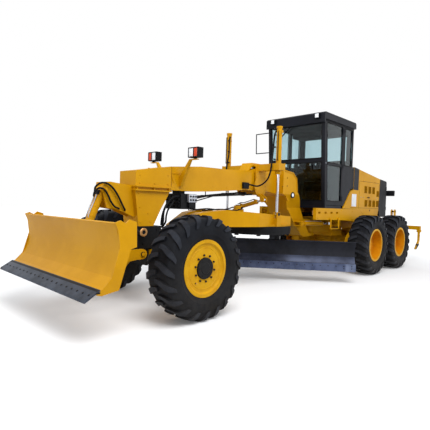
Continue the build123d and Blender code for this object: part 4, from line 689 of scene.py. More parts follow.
class GRADER_OT_cab(bpy.types.Operator):
    """Adds seals, wiper, lining, handles, pedals, levers and the seat of the cab"""

    bl_idname = "grader.cab"
    bl_label = "Cab trim"

    def execute(self, context):
        bm = bmesh.new()
        ahead = Vector((1.830, 0, -0.125)).normalized()
        for low, high in ((2.530, 3.250), (1.640, 2.450)):
            corners = [at(cab_front_x(low), -PANE_HALF, low), at(cab_front_x(low), PANE_HALF, low),
                       at(cab_front_x(high), PANE_HALF, high), at(cab_front_x(high), -PANE_HALF, high)]
            seal(bm, corners, ahead)
        corners = [at(-5.235, y, z) for y, z in ((-0.56, 2.480), (0.56, 2.480), (0.56, 3.240), (-0.56, 3.240))]
        seal(bm, corners, Vector((-1, 0, 0)))
        for side in (1, -1):
            corners = [at(x, side * CAB_HALF, z)
                       for x, z in ((-5.180, 2.450), (-4.812, 2.450), (-4.812, 3.285), (-5.180, 3.285))]
            seal(bm, corners, Vector((0, side, 0)))
        # wiper, pivoted above the screen
        pivot = at(cab_front_x(3.284) + 0.004, -0.033, 3.284)
        tip = at(cab_front_x(2.98) + 0.026, -0.440, 2.98)
        box_between(bm, pivot - Vector((0.004, 0.035, 0.022)), pivot + Vector((0.030, 0.035, 0.022)), 0.005, 1)
        shaft = pivot + Vector((0.034, 0, 0))
        rod(bm, pivot, shaft + Vector((0.006, 0, 0)), 0.011, 16, 1)
        rod(bm, shaft, tip, 0.009, 10, 1)
        along = (tip - shaft).normalized()
        for offset, radius in ((-0.004, 0.013), (-0.015, 0.007)):
            rod(bm, tip - along * 0.40 + ahead * offset, tip + along * 0.06 + ahead * offset, radius, 8, 1)
        # drip rails under the roof and the joint line of its lid
        for side in (1, -1):
            y_low, y_high = sorted((side * 0.715, side * 0.728))
            box_between(bm, at(-5.225, y_low, 3.302), at(-3.900, y_high, 3.318), 0.003, 1)
            box_between(bm, at(-5.290, side * 0.7362, 3.436), at(-3.830, side * 0.7376, 3.441), 0.0, 1)
        # lining under the roof, the air duct at its rear and the shelf behind the seat
        box_between(bm, at(-4.760, -0.640, 3.262), at(-3.960, 0.640, 3.318), 0.012, 2)
        box_between(bm, at(-5.186, -0.640, 3.150), at(-4.750, 0.640, 3.318), 0.030, 2)
        box_between(bm, at(-5.186, -0.655, 2.300), at(-4.885, 0.655, 2.575), 0.030, 2)
        put("cab_trim", bm, "rear_frame", ["hose_rubber", "black_plastic", "seat_cloth"])

        for name, side in (("left", 1), ("right", -1)):
            bm = bmesh.new()
            for low, high in ((2.450, 3.285), (1.640, 2.400)):
                corners = [at(door_front_x(low), side * CAB_HALF, low), at(door_front_x(high), side * CAB_HALF, high),
                           at(-4.689, side * CAB_HALF, high), at(-4.689, side * CAB_HALF, low)]
                seal(bm, corners, Vector((0, side, 0)), 0.008, 0.010, 0.003)
            # dark grey sheet behind the lower door glass: painted shade of the dark cab interior seen through it
            inner, outer = sorted((side * 0.6805, side * 0.6865))
            low, high = 1.643, 2.397
            panel = [at(x, inner, z) for x, z in (
                (door_front_x(low) - 0.003, low), (door_front_x(high) - 0.003, high), (-4.686, high), (-4.686, low),
            )]
            prism(bm, panel, Vector((0, outer - inner, 0)), 3)
            handle = at(-4.045, side * 0.716, 2.425)
            out = Vector((0, side, 0))
            for shift in (-0.030, 0.045):
                rod(bm, handle + Vector((shift, 0, 0)), handle + Vector((shift, 0, 0)) + out * 0.014, 0.007, 10, 1)
            box_between(bm, at(-4.085, side * 0.728, 2.413), at(-3.992, side * 0.734, 2.437), 0.0028, 1)
            rod(bm, handle + Vector((0.075, -side * 0.002, 0)), handle + Vector((0.075, side * 0.006, 0)), 0.012, 16, 2)
            # grab handle inside the door
            inside = side * 0.668
            for z in (2.05, 2.33):
                rod(bm, at(-4.655, inside, z), at(-4.655, inside - side * 0.045, z), 0.009, 10, 1)
            rod(bm, at(-4.655, inside - side * 0.045, 2.03), at(-4.655, inside - side * 0.045, 2.35), 0.011, 12, 1)
            put(f"door_trim_{name}", bm, f"door_{name}", ["hose_rubber", "black_plastic", "zinc", "shade_panel_grey"])

        bm = bmesh.new()
        seat_parts = (
            ((-4.790, -0.245, 1.8405), (-4.350, 0.245, 1.905), 0.018, 1),
            ((-4.770, -0.240, 1.900), (-4.325, 0.240, 1.985), 0.034, 0),
            ((-4.760, -0.240, 1.960), (-4.330, -0.180, 2.010), 0.024, 0),
            ((-4.760, 0.180, 1.960), (-4.330, 0.240, 2.010), 0.024, 0),
        )
        for low, high, bevel, chosen in seat_parts:
            box_between(bm, at(*low), at(*high), bevel, chosen)
        lean = Matrix.Translation(at(-4.690, 0, 1.955)) @ Matrix.Rotation(radians(-9.5), 4, "Y")
        back_parts = (
            ((-0.050, -0.225, 0.020), (0.045, 0.225, 0.440), 0.030, 0),
            ((-0.040, -0.232, 0.060), (0.062, -0.170, 0.400), 0.024, 0),
            ((-0.040, 0.170, 0.060), (0.062, 0.232, 0.400), 0.024, 0),
            ((-0.035, -0.130, 0.450), (0.040, 0.130, 0.605), 0.030, 0),
            ((-0.012, -0.070, 0.430), (0.000, -0.055, 0.470), 0.0, 1),
            ((-0.012, 0.055, 0.430), (0.000, 0.070, 0.470), 0.0, 1),
        )
        for low, high, bevel, chosen in back_parts:
            box_between(bm, low, high, bevel, chosen, lean)
        for side in (1, -1):
            box_between(bm, at(-4.760, side * 0.245, 2.090), at(-4.430, side * 0.300, 2.140), 0.018, 0)
            rod(bm, at(-4.735, side * 0.262, 1.930), at(-4.735, side * 0.262, 2.100), 0.014, 12, 1)
        seat = put("operator_seat", bm, "rear_frame", ["seat_cloth", "black_plastic"])
        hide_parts("seat")

        bm = bmesh.new()
        for side in (1, -1):
            for number in range(4):
                y = side * (0.150 + 0.045 * number)
                rod(bm, at(-4.289, y, 2.352), at(-4.305, y, 2.440), 0.006, 10, 0)
                rod(bm, at(-4.303, y, 2.428), at(-4.310, y, 2.468), 0.014, 16, 1 if number in (0, 3) else 0)
        for y_low, y_high in ((-0.260, -0.190), (-0.150, -0.080), (0.130, 0.215)):
            box_between(bm, at(-4.075, y_low, 1.590), at(-4.055, y_high, 1.680), 0.004, 0)
            middle = (y_low + y_high) / 2
            rod(bm, at(-4.066, middle, 1.600), at(-4.100, middle, 1.545), 0.008, 10, 0)
        dial = Matrix.Translation(at(-4.262, 0, 2.172)) @ Matrix.Rotation(radians(-32), 4, "Y")
        box_between(bm, (-0.055, -0.120, 0.0), (0.055, 0.120, 0.030), 0.008, 0, dial)
        for y in (-0.075, 0.0, 0.075):
            face = dial @ Vector((-0.004, y, 0.029))
            rod(bm, face, face + dial.to_3x3() @ Vector((0, 0, 0.004)), 0.028, 24, 1)
        put("cab_controls_trim", bm, "rear_frame", ["black_plastic", "white_plate"])
        return {"FINISHED"}


# ---------------------------------------------------------------- hood trim
HOOD_HALF = 0.720
# louvres: x of the group's rear edge, groups, bottom, top
LOUVRES = ((-6.590, 3, 1.880, 2.050), (-6.870, 1, 1.820, 1.965), (-6.630, 3, 1.550, 1.712), (-6.870, 1, 1.550, 1.712))
LOUVRE_PITCH, LOUVRE_WIDTH, LOUVRE_SLOTS = 0.240, 0.165, 5


def hood_top(x):
    """Height of the sloping top of the hood."""
    return 2.458 + (x + 5.330) * (2.458 - 2.282) / 1.560


class GRADER_OT_hood(bpy.types.Operator):
    """Adds fins, seams, the dark band, the plate, locks and the grille core"""

    bl_idname = "grader.hood"
    bl_label = "Hood trim"

    def execute(self, context):
        bm = bmesh.new()
        for side in (1, -1):
            face = side * HOOD_HALF
            for rear_x, groups, low, high in LOUVRES:
                for group in range(groups):
                    start = rear_x + group * LOUVRE_PITCH
                    # louvre fins in brown: painted shade on the yellow fins down in their slots
                    for number in range(LOUVRE_SLOTS):
                        x = start + LOUVRE_WIDTH * (number + 0.5) / LOUVRE_SLOTS + 0.011
                        fin = Matrix.Translation(at(x, face, (low + high) / 2)) @ Matrix.Rotation(
                            side * radians(24), 4, "Z"
                        )
                        box_between(bm, (-0.014, -0.0022, -(high - low) / 2), (0.012, 0.0022, (high - low) / 2),
                                    0.0, 1, fin)
                    # dark plate behind each group of fins: painted shade inside the hood, seen through the slots
                    box_between(bm, at(start, side * 0.6885, low - 0.01),
                                at(start + LOUVRE_WIDTH, side * 0.6895, high + 0.01), 0.0, 2)
            # dark band behind the cab
            band = [(-5.331, 1.932), (-5.590, 1.932), (-5.590, hood_top(-5.590)), (-5.331, hood_top(-5.331))]
            prism(bm, [at(x, face + side * LIFT, z) for x, z in band], Vector((0, side * 0.0012, 0)), 3)
            # white plate without lettering
            plate = [(-5.250, 1.540), (-5.490, 1.540), (-5.490, 1.832), (-5.250, 1.832)]
            prism(bm, [at(x, face + side * LIFT, z) for x, z in plate], Vector((0, side * 0.0015, 0)), 4)
            # seam below the top and the edge of the side door
            for (x_from, z_from), (x_to, z_to) in (
                ((-5.640, 2.158), (-6.850, 2.166)), ((-5.640, 1.500), (-5.640, 2.158)),
                ((-6.850, 1.500), (-6.850, 2.166)), ((-5.190, 1.512), (-6.840, 1.512)),
            ):
                rod(bm, at(x_from, face, z_from), at(x_to, face, z_to), 0.0028, 6, 5)
            for x in (-5.756, -5.905, -6.700):
                rod(bm, at(x, face, 1.771), at(x, face + side * 0.004, 1.771), 0.013, 20, 6)
                rod(bm, at(x, face, 1.771), at(x, face + side * 0.006, 1.771), 0.005, 10, 3)
            box_between(bm, at(-6.310, face, 1.436), at(-6.270, face + side * 0.0015, 1.474), 0.0, 3)
            # hinges and handle of the side door
            for x in (-5.900, -6.600):
                hinge = at(x, face + side * 0.006, 2.172)
                rod(bm, hinge - Vector((0.050, 0, 0)), hinge + Vector((0.050, 0, 0)), 0.008, 12)
            box_between(bm, at(-6.220, face + side * 0.018, 1.765), at(-6.100, face + side * 0.026, 1.785), 0.0035, 5)
            for x in (-6.210, -6.110):
                rod(bm, at(x, face, 1.775), at(x, face + side * 0.020, 1.775), 0.006, 8, 5)
        # cowl that closes the gap between the cab and the hood
        box_between(bm, at(-5.3295, -0.7165, 1.950), at(-5.2365, 0.7165, 2.452), 0.004, 3)
        # the band's top and the top seam
        band = [(-5.331, -0.7215), (-5.331, 0.7215), (-5.590, 0.7215), (-5.590, -0.7215)]
        prism(bm, [at(x, y, hood_top(x) + LIFT) for x, y in band], Vector((0, 0, 0.0012)), 3)
        for y in (-0.42, 0.42):
            rod(bm, at(-5.640, y, hood_top(-5.640)), at(-6.860, y, hood_top(-6.860)), 0.0028, 6, 5)
        for x in (-5.95, -6.20):
            rod(bm, at(x, 0.20, hood_top(x) - 0.01), at(x, 0.20, hood_top(x) + 0.034), 0.048, 28, 5)
            rod(bm, at(x, 0.20, hood_top(x) + 0.030), at(x, 0.20, hood_top(x) + 0.044), 0.040, 28, 5)
        put("hood_trim", bm, "rear_frame", [
            "yellow_paint", "slot_brown", "slot_shade_dark", "band_grey", "white_plate", "black_plastic", "zinc",
        ])

        # core behind the grille's bars and the bolts of its frame
        bm = bmesh.new()
        box_between(bm, at(-7.255, -0.655, 1.360), at(-7.245, 0.655, 2.180), 0.0, 1)
        for number in range(44):
            y = -0.645 + 1.290 * number / 43
            box_between(bm, at(-7.262, y - 0.002, 1.365), at(-7.254, y + 0.002, 2.175), 0.0, 2)
        for y in (-0.655, 0.655):
            for number in range(6):
                hex_head(bm, at(-7.3845, y, 1.40 + 0.148 * number), (-1, 0, 0), 0.011, 0.008, 2)
        for side in (1, -1):
            for z in (1.52, 2.06):
                rod(bm, at(-7.370, side * 0.716, z - 0.045), at(-7.370, side * 0.716, z + 0.045), 0.0075, 12, 0)
            for z in (1.42, 1.70, 1.98):
                hex_head(bm, at(-6.930, side * 0.7115, z), (0, side, 0), 0.011, 0.007, 0)
        put("grille_trim", bm, "rear_frame", ["black_paint", "black_plastic", "cast_iron"])
        return {"FINISHED"}


# ---------------------------------------------------------------- hoses and pipes
class GRADER_OT_hoses(bpy.types.Operator):
    """Adds the hydraulic hoses, pipes, fittings and valves"""

    bl_idname = "grader.hoses"
    bl_label = "Hoses"

    def execute(self, context):
        # two hoses that arch over the front blade's cylinder
        bm = bmesh.new()
        tube(bm, [
            (0.470, 0.104, 1.372), (0.480, 0.126, 1.376), (0.520, 0.134, 1.430), (0.590, 0.136, 1.550),
            (0.680, 0.136, 1.665), (0.770, 0.130, 1.722), (0.850, 0.112, 1.722), (0.900, 0.075, 1.668),
            (0.898, 0.052, 1.612),
        ], 0.013)
        tube(bm, [
            (0.560, 0.104, 1.392), (0.580, 0.128, 1.394), (0.650, 0.138, 1.420), (0.712, 0.138, 1.492),
            (0.755, 0.136, 1.575), (0.805, 0.130, 1.640), (0.870, 0.110, 1.655), (0.915, 0.080, 1.600),
            (0.912, 0.056, 1.545),
        ], 0.013)
        put_between("front_ram_hoses", bm,
                    ["hose_rubber"])
        bm = bmesh.new()
        foot, head = at(0.765, 0, 1.640), at(1.070, 0, 0.900)
        down = (head - foot).normalized()
        front = Vector((-down.z, 0, down.x)).normalized()
        for side in (1, -1):
            start = foot + down * 0.080 + front * 0.055 + Vector((0, side * 0.028, 0))
            end = foot + down * 0.400 + front * 0.055 + Vector((0, side * 0.028, 0))
            port = foot + down * 0.060 + front * 0.050 + Vector((0, side * 0.040, 0))
            tube(bm, [port, start, start + down * 0.08, end, end + down * 0.022 - front * 0.018], 0.007, 8)
        for distance in (0.105, 0.245, 0.385):
            middle = foot + down * distance
            rod(bm, middle - down * 0.010, middle + down * 0.010, 0.0575, 32, 2)
        for distance in (0.045, 0.075):
            block = foot + down * distance + front * 0.055
            box_between(bm, block - Vector((0.016, 0.052, 0.014)), block + Vector((0.016, 0.052, 0.014)), 0.004, 1)
        rod(bm, foot + down * 0.556, foot + down * 0.5710, 0.0565, 32, 0)
        put("front_ram_pipes", bm, "blade_ram_barrel", ["zinc", "cast_iron", "yellow_paint"])

        # valve block below the beam and its fittings, then its hoses
        bm = bmesh.new()
        box_between(bm, at(-0.745, 0.215, 1.508), at(-0.572, 0.262, 1.636), 0.006, 1)
        box_between(bm, at(-0.700, 0.215, 1.420), at(-0.590, 0.250, 1.502), 0.006, 3)
        box_between(bm, at(-0.745, -0.188, 1.480), at(-0.480, -0.150, 1.600), 0.006, 3)
        for z in (1.545, 1.600):
            side_bolts(bm, 1, 0.262, ((-0.715, z), (-0.660, z), (-0.605, z)), 0.015, 0.014, 2)
        for x in (-0.690, -0.645, -0.600):
            rod(bm, at(x, 0.235, 1.385), at(x, 0.235, 1.424), 0.011, 12, 3)
        for z in (1.445, 1.495, 1.545, 1.595):
            for y in (-0.10, -0.03, 0.04, 0.11, 0.175):
                hex_head(bm, at(-0.450, y, z), (1, 0, 0), 0.017, 0.018, 2 if y > 0.1 else 3)
        hex_head(bm, at(-0.7605, 0.120, 1.598), (-1, 0, 0), 0.026, 0.030, 2)
        put("valve_fittings", bm, "front_frame", ["hose_rubber", "zinc", "cast_iron", "black_paint"])
        bm = bmesh.new()
        # columns: points of a hose from the valve to the foot of the nose, radius
        for points, radius in (
            ([(-0.440, 0.175, 1.595), (-0.350, 0.180, 1.590), (-0.265, 0.184, 1.540), (-0.175, 0.192, 1.440),
              (-0.135, 0.196, 1.340), (-0.135, 0.192, 1.220), (-0.145, 0.150, 1.120)], 0.016),
            ([(-0.440, 0.110, 1.545), (-0.360, 0.165, 1.530), (-0.290, 0.200, 1.480), (-0.215, 0.206, 1.395),
              (-0.180, 0.206, 1.300), (-0.180, 0.190, 1.200), (-0.170, 0.120, 1.120)], 0.014),
            ([(-0.440, 0.040, 1.495), (-0.350, 0.060, 1.480), (-0.260, 0.060, 1.400), (-0.215, 0.060, 1.280),
              (-0.200, 0.060, 1.150)], 0.014),
            ([(-0.440, -0.100, 1.545), (-0.360, -0.165, 1.530), (-0.270, -0.190, 1.460), (-0.180, -0.196, 1.330),
              (-0.170, -0.190, 1.200), (-0.165, -0.130, 1.120)], 0.014),
            ([(-0.770, 0.080, 1.560), (-0.900, 0.078, 1.580), (-1.200, 0.078, 1.630), (-1.700, 0.080, 1.685),
              (-2.150, 0.080, 1.722)], 0.011),
            ([(-0.770, -0.080, 1.560), (-0.900, -0.078, 1.580), (-1.200, -0.078, 1.630), (-1.700, -0.080, 1.685),
              (-2.150, -0.080, 1.722)], 0.011),
            ([(-0.770, 0.040, 1.500), (-0.860, 0.040, 1.520), (-1.200, 0.040, 1.600), (-1.560, 0.040, 1.676),
              (-2.150, 0.040, 1.722)], 0.009),
        ):
            tube(bm, points, radius)
        for x, z in ((-1.180, 1.6275), (-1.700, 1.685), (-2.080, 1.716)):
            box_between(bm, at(x - 0.020, -0.100, z - 0.016), at(x + 0.020, 0.142, z + 0.016), 0.004, 1)
            rod(bm, at(x, 0.0, z), at(x, 0.0, 1.705 if x > -1.3 else 1.775), 0.008, 10, 1)
        # box on the beam that the lift cylinder's hose leaves
        box_between(bm, at(-2.085, 0.168, 1.792), at(-1.930, 0.215, 1.905), 0.006, 1)
        for x in (-2.050, -1.965):
            hex_head(bm, at(x, 0.215, 1.888), (0, 1, 0), 0.009, 0.006, 1)
        box_between(bm, at(-2.085, -0.215, 1.792), at(-1.930, -0.168, 1.905), 0.006, 1)
        put("valve_hoses", bm, "front_frame", ["hose_rubber", "black_paint"])

        # hoses from the beam up the lift cylinders
        for name, side in (("left", 1), ("right", -1)):
            bm = bmesh.new()
            tube(bm, [
                (-2.070, 0.205, 1.872), (-2.150, 0.236, 1.862), (-2.220, 0.300, 1.848), (-2.270, 0.400, 1.900),
                (-2.285, 0.480, 1.985), (-2.285, 0.530, 2.100), (-2.286, 0.548, 2.200), (-2.300, 0.546, 2.320),
                (-2.335, 0.540, 2.480), (-2.346, 0.545, 2.680), (-2.362, 0.552, 2.810), (-2.388, 0.566, 2.850),
            ], 0.015, side=side)
            put_between(f"lift_hose_{name}", bm,
                        ["hose_rubber"])
            bm = bmesh.new()
            y = side * 0.611
            for z in (2.340, 2.560, 2.780):
                rod(bm, at(SADDLE_X, y, z - 0.011), at(SADDLE_X, y, z + 0.011), 0.0515, 32, 1)
                box_between(bm, at(-2.375, y - side * 0.066, z - 0.012), at(-2.335, y - side * 0.036, z + 0.012), 0.003)
            pipe = ((-2.372, 0.018, 2.315), (-2.355, 0.020, 2.330), (-2.355, 0.020, 2.400),
                    (-2.355, 0.020, 2.780), (-2.358, 0.018, 2.835), (-2.376, 0.016, 2.850))
            tube(bm, [at(x, y + side * shift, z) for x, shift, z in pipe],
                 0.0075, 8)
            hex_head(bm, at(-2.392, side * 0.565, 2.850), (1, -side * 0.3, 0), 0.017, 0.024, 0)
            hex_head(bm, at(SADDLE_X, y, 2.9365), (0, 0, 1), 0.026, 0.0004, 0)
            put(f"lift_cylinder_trim_{name}", bm, "lift_barrels", ["black_paint", "yellow_paint"])

        # centre-shift cylinder: hose with a loop and its ports
        foot, head = Vector((0, -0.330, 1.440)), Vector((0, 0.300, 1.600))
        run = (head - foot).normalized()
        lift = Vector((0, -run.z, run.y))

        def beside(distance, height, x=0.0):
            """Point beside the centre-shift cylinder."""
            place = foot + run * distance + lift * height
            return at(SADDLE_X + x, place.y, place.z)

        bm = bmesh.new()
        for distance in (0.100, 0.455):
            box_between(bm, beside(distance, 0.044) - Vector((0.018, 0.018, 0.012)),
                        beside(distance, 0.044) + Vector((0.018, 0.018, 0.014)), 0.004, 1)
        rod(bm, beside(0.066, 0), beside(0.090, 0), 0.0425, 28, 1)
        rod(bm, beside(0.470, 0), beside(0.5005, 0), 0.0425, 28, 1)
        tube(bm, [beside(0.455, 0.052), beside(0.430, 0.064), beside(0.300, 0.060), beside(0.160, 0.060),
                  beside(0.110, 0.075), beside(0.070, 0.078)], 0.0085, 8)
        tube(bm, [beside(0.100, 0.054, 0.012), beside(0.070, 0.064, 0.014), beside(0.030, 0.066, 0.014)], 0.0085, 8)
        put("shift_cylinder_hoses", bm, "shift_barrel", ["hose_rubber", "yellow_paint"])

        # steering cylinders: pipes and collars
        for name, side in (("left", 1), ("right", -1)):
            foot3, head3 = at(-3.640, side * 0.400, 1.140), at(-4.600, side * 0.500, 1.140)
            step = (head3 - foot3).normalized()
            bm = bmesh.new()
            for distance in (0.085, 0.690):
                rod(bm, foot3 + step * (distance - 0.014), foot3 + step * (distance + 0.014), 0.048, 28, 1)
            top = Vector((0, 0, 0.052))
            tube(bm, [foot3 + step * 0.100 + top * 0.9, foot3 + step * 0.120 + top, foot3 + step * 0.400 + top,
                      foot3 + step * 0.660 + top, foot3 + step * 0.680 + top * 0.85], 0.007, 8)
            put(f"steer_cylinder_pipes_{name}", bm, f"steer_barrel_{name}", ["zinc", "yellow_paint"])

        # hoses across the frame's hinge
        bm = bmesh.new()
        for side in (1, -1):
            for number in range(3):
                y = side * (0.055 + 0.035 * number)
                z = 1.262 + 0.030 * number
                tube(bm, [
                    (-3.900, y, z + 0.020), (-4.050, y, z + 0.030), (-4.250, y, z + 0.034), (-4.500, y, z + 0.034),
                    (-4.750, y, z + 0.030), (-4.920, y, z), (-4.990, y, z - 0.010),
                ], 0.012)
        put_between("hinge_hoses", bm,
                    ["hose_rubber"])

        # ripper's cylinder: collars, ports and the pipe between them
        bm = bmesh.new()
        foot, head = at(-7.520, 0, 1.150), at(-8.550, 0, 1.400)
        step = (head - foot).normalized()
        up = Vector((step.z, 0, -step.x))
        for collar, port in ((0.085, 0.105), (0.835, 0.785)):
            rod(bm, foot + step * (collar - 0.014), foot + step * (collar + 0.0145), 0.0535, 28, 1)
            block = foot + step * port + up * 0.050
            box_between(bm, block - Vector((0.018, 0.018, 0.006)), block + Vector((0.018, 0.018, 0.020)), 0.004, 1)
        tube(bm, [foot + step * 0.780 + up * 0.066, foot + step * 0.750 + up * 0.075, foot + step * 0.500 + up * 0.066,
                  foot + step * 0.200 + up * 0.072, foot + step * 0.090 + up * 0.085], 0.008, 8)
        put("ripper_cylinder_pipes", bm, "ripper_barrel", ["zinc", "yellow_paint"])

        # slim valve bank on the inner face of the left rail, clear of the neck at full lock
        bm = bmesh.new()
        box_between(bm, at(-3.965, 0.618, 1.330), at(-3.665, 0.6495, 1.440), 0.005, 0)
        for number in range(5):
            x = -3.930 + 0.055 * number
            hex_head(bm, at(x, 0.634, 1.440), (0, 0, 1), 0.013, 0.012, 2)
            hex_head(bm, at(x, 0.618, 1.400), (0, -1, 0), 0.014, 0.010, 2)
            hex_head(bm, at(x, 0.618, 1.360), (0, -1, 0), 0.014, 0.010, 1)
        for z in (1.350, 1.380, 1.410):
            tube(bm, [
                (-3.960, 0.634, z), (-4.060, 0.634, z), (-4.300, 0.636, z - 0.020), (-4.800, 0.636, z - 0.020),
            ], 0.011, 8, material_index=3)
            hex_head(bm, at(-3.665, 0.634, z), (1, 0, 0), 0.015, 0.016, 2)
        put("valve_bank", bm, "rear_frame", ["black_paint", "zinc", "brass", "hose_rubber"])
        return {"FINISHED"}


# ---------------------------------------------------------------- frame trim
class GRADER_OT_frame(bpy.types.Operator):
    """Adds bolts, seams, plates and pins to the frames"""

    bl_idname = "grader.frame"
    bl_label = "Frame trim"

    def execute(self, context):
        bm = bmesh.new()
        for side in (1, -1):
            out = Vector((0, side, 0))
            # joint line between the nose and the beam, and the fold of the nose
            rod(bm, at(-0.264, side * 0.1995, 1.730), at(-0.264, side * 0.1995, 2.031), 0.0035, 6, 1)
            side_bolts(bm, side, 0.200, (
                (0.300, 1.762), (0.040, 1.762), (-0.200, 1.762), (0.300, 1.870), (-0.200, 1.900)
            ), 0.011, 0.007)
            side_bolts(bm, side, 0.182, (
                (0.300, 1.610), (0.278, 1.420), (0.135, 1.334), (0.262, 1.210), (0.090, 1.210)
            ), 0.011, 0.007)
            # bracing between the lamp strap and the nose's ribs
            for (x_from, z_from), (x_to, z_to) in (
                ((-0.272, 1.934), (-0.470, 1.944)), ((-0.285, 1.925), (-0.330, 1.790)),
            ):
                rod(bm, at(x_from, side * 0.172, z_from), at(x_to, side * 0.172, z_to), 0.006, 8, 0)
            # bolts on the bare side of the beam
            for x in (-1.190, -1.520):
                hex_head(bm, at(x, side * 0.170, 1.788), out, 0.009, 0.006, 0)
            # ring of the bracket's boss
            boss = at(0.250, 0, 1.070)
            ring = [(0.246, 0.060), (0.256, 0.060), (0.263, 0.052), (0.263, 0.032), (0.260, 0.029), (0.246, 0.029)]
            lathe(bm, ring, boss, side, 40, True, 2)
            rod(bm, boss + out * 0.256, boss + out * 0.2590, 0.0285, 32, 3)
            # bolts of the saddle's cheeks and caps
            for number in range(8):
                angle = pi * (0.98 + 1.04 * number / 7)
                x, z = SADDLE_X + 0.150 * cos(angle), 1.850 + 0.150 * sin(angle)
                hex_head(bm, at(x, side * 0.224, z), out, 0.012, 0.009)
            for x in (-2.540, -2.290):
                for z in (2.020, 2.110):
                    hex_head(bm, at(x, side * 0.224, z), out, 0.011, 0.008, 0)
            for x in (-2.495, -2.335):
                for y in (0.500, 0.692):
                    hex_head(bm, at(x, side * y, 2.262), (0, 0, 1), 0.012, 0.010, 0)
            # bosses of the lift cylinders' yokes
            rod(bm, at(SADDLE_X, side * 0.690, 2.200), at(SADDLE_X, side * 0.6965, 2.200), 0.034, 24, 0)
            side_bolts(bm, side, 0.345, ((-3.120, 1.900), (-3.120, 2.060), (-2.960, 1.880)), 0.012, 0.008, 1)
            # pin heads of the front blade's arms and the upper pin of its cylinder
            hex_head(bm, at(0.240, side * 0.246, 0.760), out, 0.030, 0.010, 0)
            hex_head(bm, at(0.765, side * 0.112, 1.640), out, 0.024, 0.010, 0)
            for x in (-0.040, 0.200):
                for z in (0.900, 1.090):
                    hex_head(bm, at(x, side * 0.175, z), out, 0.014, 0.010, 3)
        for x in (-0.050, 0.110):
            rod(bm, at(x, 0.145, 2.010 - 0.075 * (x + 0.262)), at(x, 0.145, 2.026 - 0.165 * (x + 0.262)), 0.020, 16, 0)
        put("front_frame_trim", bm, "front_frame", ["yellow_paint", "slot_brown", "brass", "black_paint"])

        bm = bmesh.new()
        for side in (1, -1):
            out = Vector((0, side, 0))
            side_bolts(bm, side, 0.720, (
                (-3.700, 1.450), (-3.700, 1.275), (-4.760, 1.440), (-4.760, 1.260), (-5.300, 1.420),
                (-5.300, 1.230), (-6.150, 1.240), (-6.500, 1.240), (-6.760, 1.240)
            ), 0.012, 0.009)
            # treads of the step
            box_between(bm, at(-4.570, side * 0.728, 1.053), at(-4.240, side * 0.7605, 1.0615), 0.0, 1)
            # cover plates and plugs of the tandem cases
            for x in (-5.430, -6.970):
                for number in range(8):
                    angle = 2 * pi * (number + 0.5) / 8
                    place = at(x + 0.190 * cos(angle), side * 0.815, 0.675 + 0.190 * sin(angle))
                    hex_head(bm, place, out, 0.012, 0.009)
            for x in (-5.900, -6.500):
                rod(bm, at(x, side * 0.815, 0.600), at(x, side * 0.824, 0.600), 0.034, 24, 0)
                hex_head(bm, at(x, side * 0.824, 0.600), out, 0.016, 0.010, 2)
            # straps on the cab's mounts
            for x in (-4.060, -4.560):
                rod(bm, at(x, side * 0.640, 1.478), at(x, side * 0.640, 1.490), 0.045, 24, 1)
        for y in (-0.124, 0.124):
            hex_head(bm, at(-7.4450, y, 1.200), (-1, 0, 0), 0.014, 0.010)
        # tow pin at the rear
        rod(bm, at(-7.470, 0.0, 0.800), at(-7.470, 0.0, 0.930), 0.020, 20, 2)
        for z in (0.800, 0.905):
            box_between(bm, at(-7.500, -0.060, z), at(-7.444, 0.060, z + 0.025), 0.004, 0)
        put("rear_frame_trim", bm, "rear_frame", ["yellow_paint", "black_plastic", "cast_iron"])
        return {"FINISHED"}


# ---------------------------------------------------------------- blades and ripper
BLADE_TURN = radians(39.0)
BLADE_ALONG = Vector((-sin(BLADE_TURN), cos(BLADE_TURN), 0))
BLADE_AHEAD = Vector((cos(BLADE_TURN), sin(BLADE_TURN), 0))
BLADE_MIDDLE = 0.230 * sin(BLADE_TURN) / cos(BLADE_TURN)
BLADE_HALF = 1.830
FACE_CIRCLE = (0.0444, 0.5928, 0.3422)       # middle and radius of the moldboard's front face
FRONT_BLADE_CIRCLE = (1.7805, 1.0009, 0.5475)     # middle x, middle z, radius of the front blade's face


def on_blade(ahead, along, z):
    """Point given from the middle of the circle: ahead of it, along the blade and up."""
    return at(CIRCLE_X, 0, z) + BLADE_AHEAD * ahead + BLADE_ALONG * along


def blade_face(z):
    """Front face of the curved moldboard at a height, ahead of the circle's middle."""
    middle_a, middle_z, radius = FACE_CIRCLE
    return middle_a - (radius ** 2 - (z - middle_z) ** 2) ** 0.5


def front_blade_face(z):
    """Front face of the curved front blade at a height, ahead of the front axle."""
    middle_x, middle_z, radius = FRONT_BLADE_CIRCLE
    return middle_x - (radius ** 2 - (z - middle_z) ** 2) ** 0.5


def blade_strip(bm, section, s_from, s_to, material_index):
    """Strip along the blade with a closed section of (ahead, up)."""
    prism(bm, [on_blade(ahead, s_from, z) for ahead, z in section], BLADE_ALONG * (s_to - s_from), material_index)


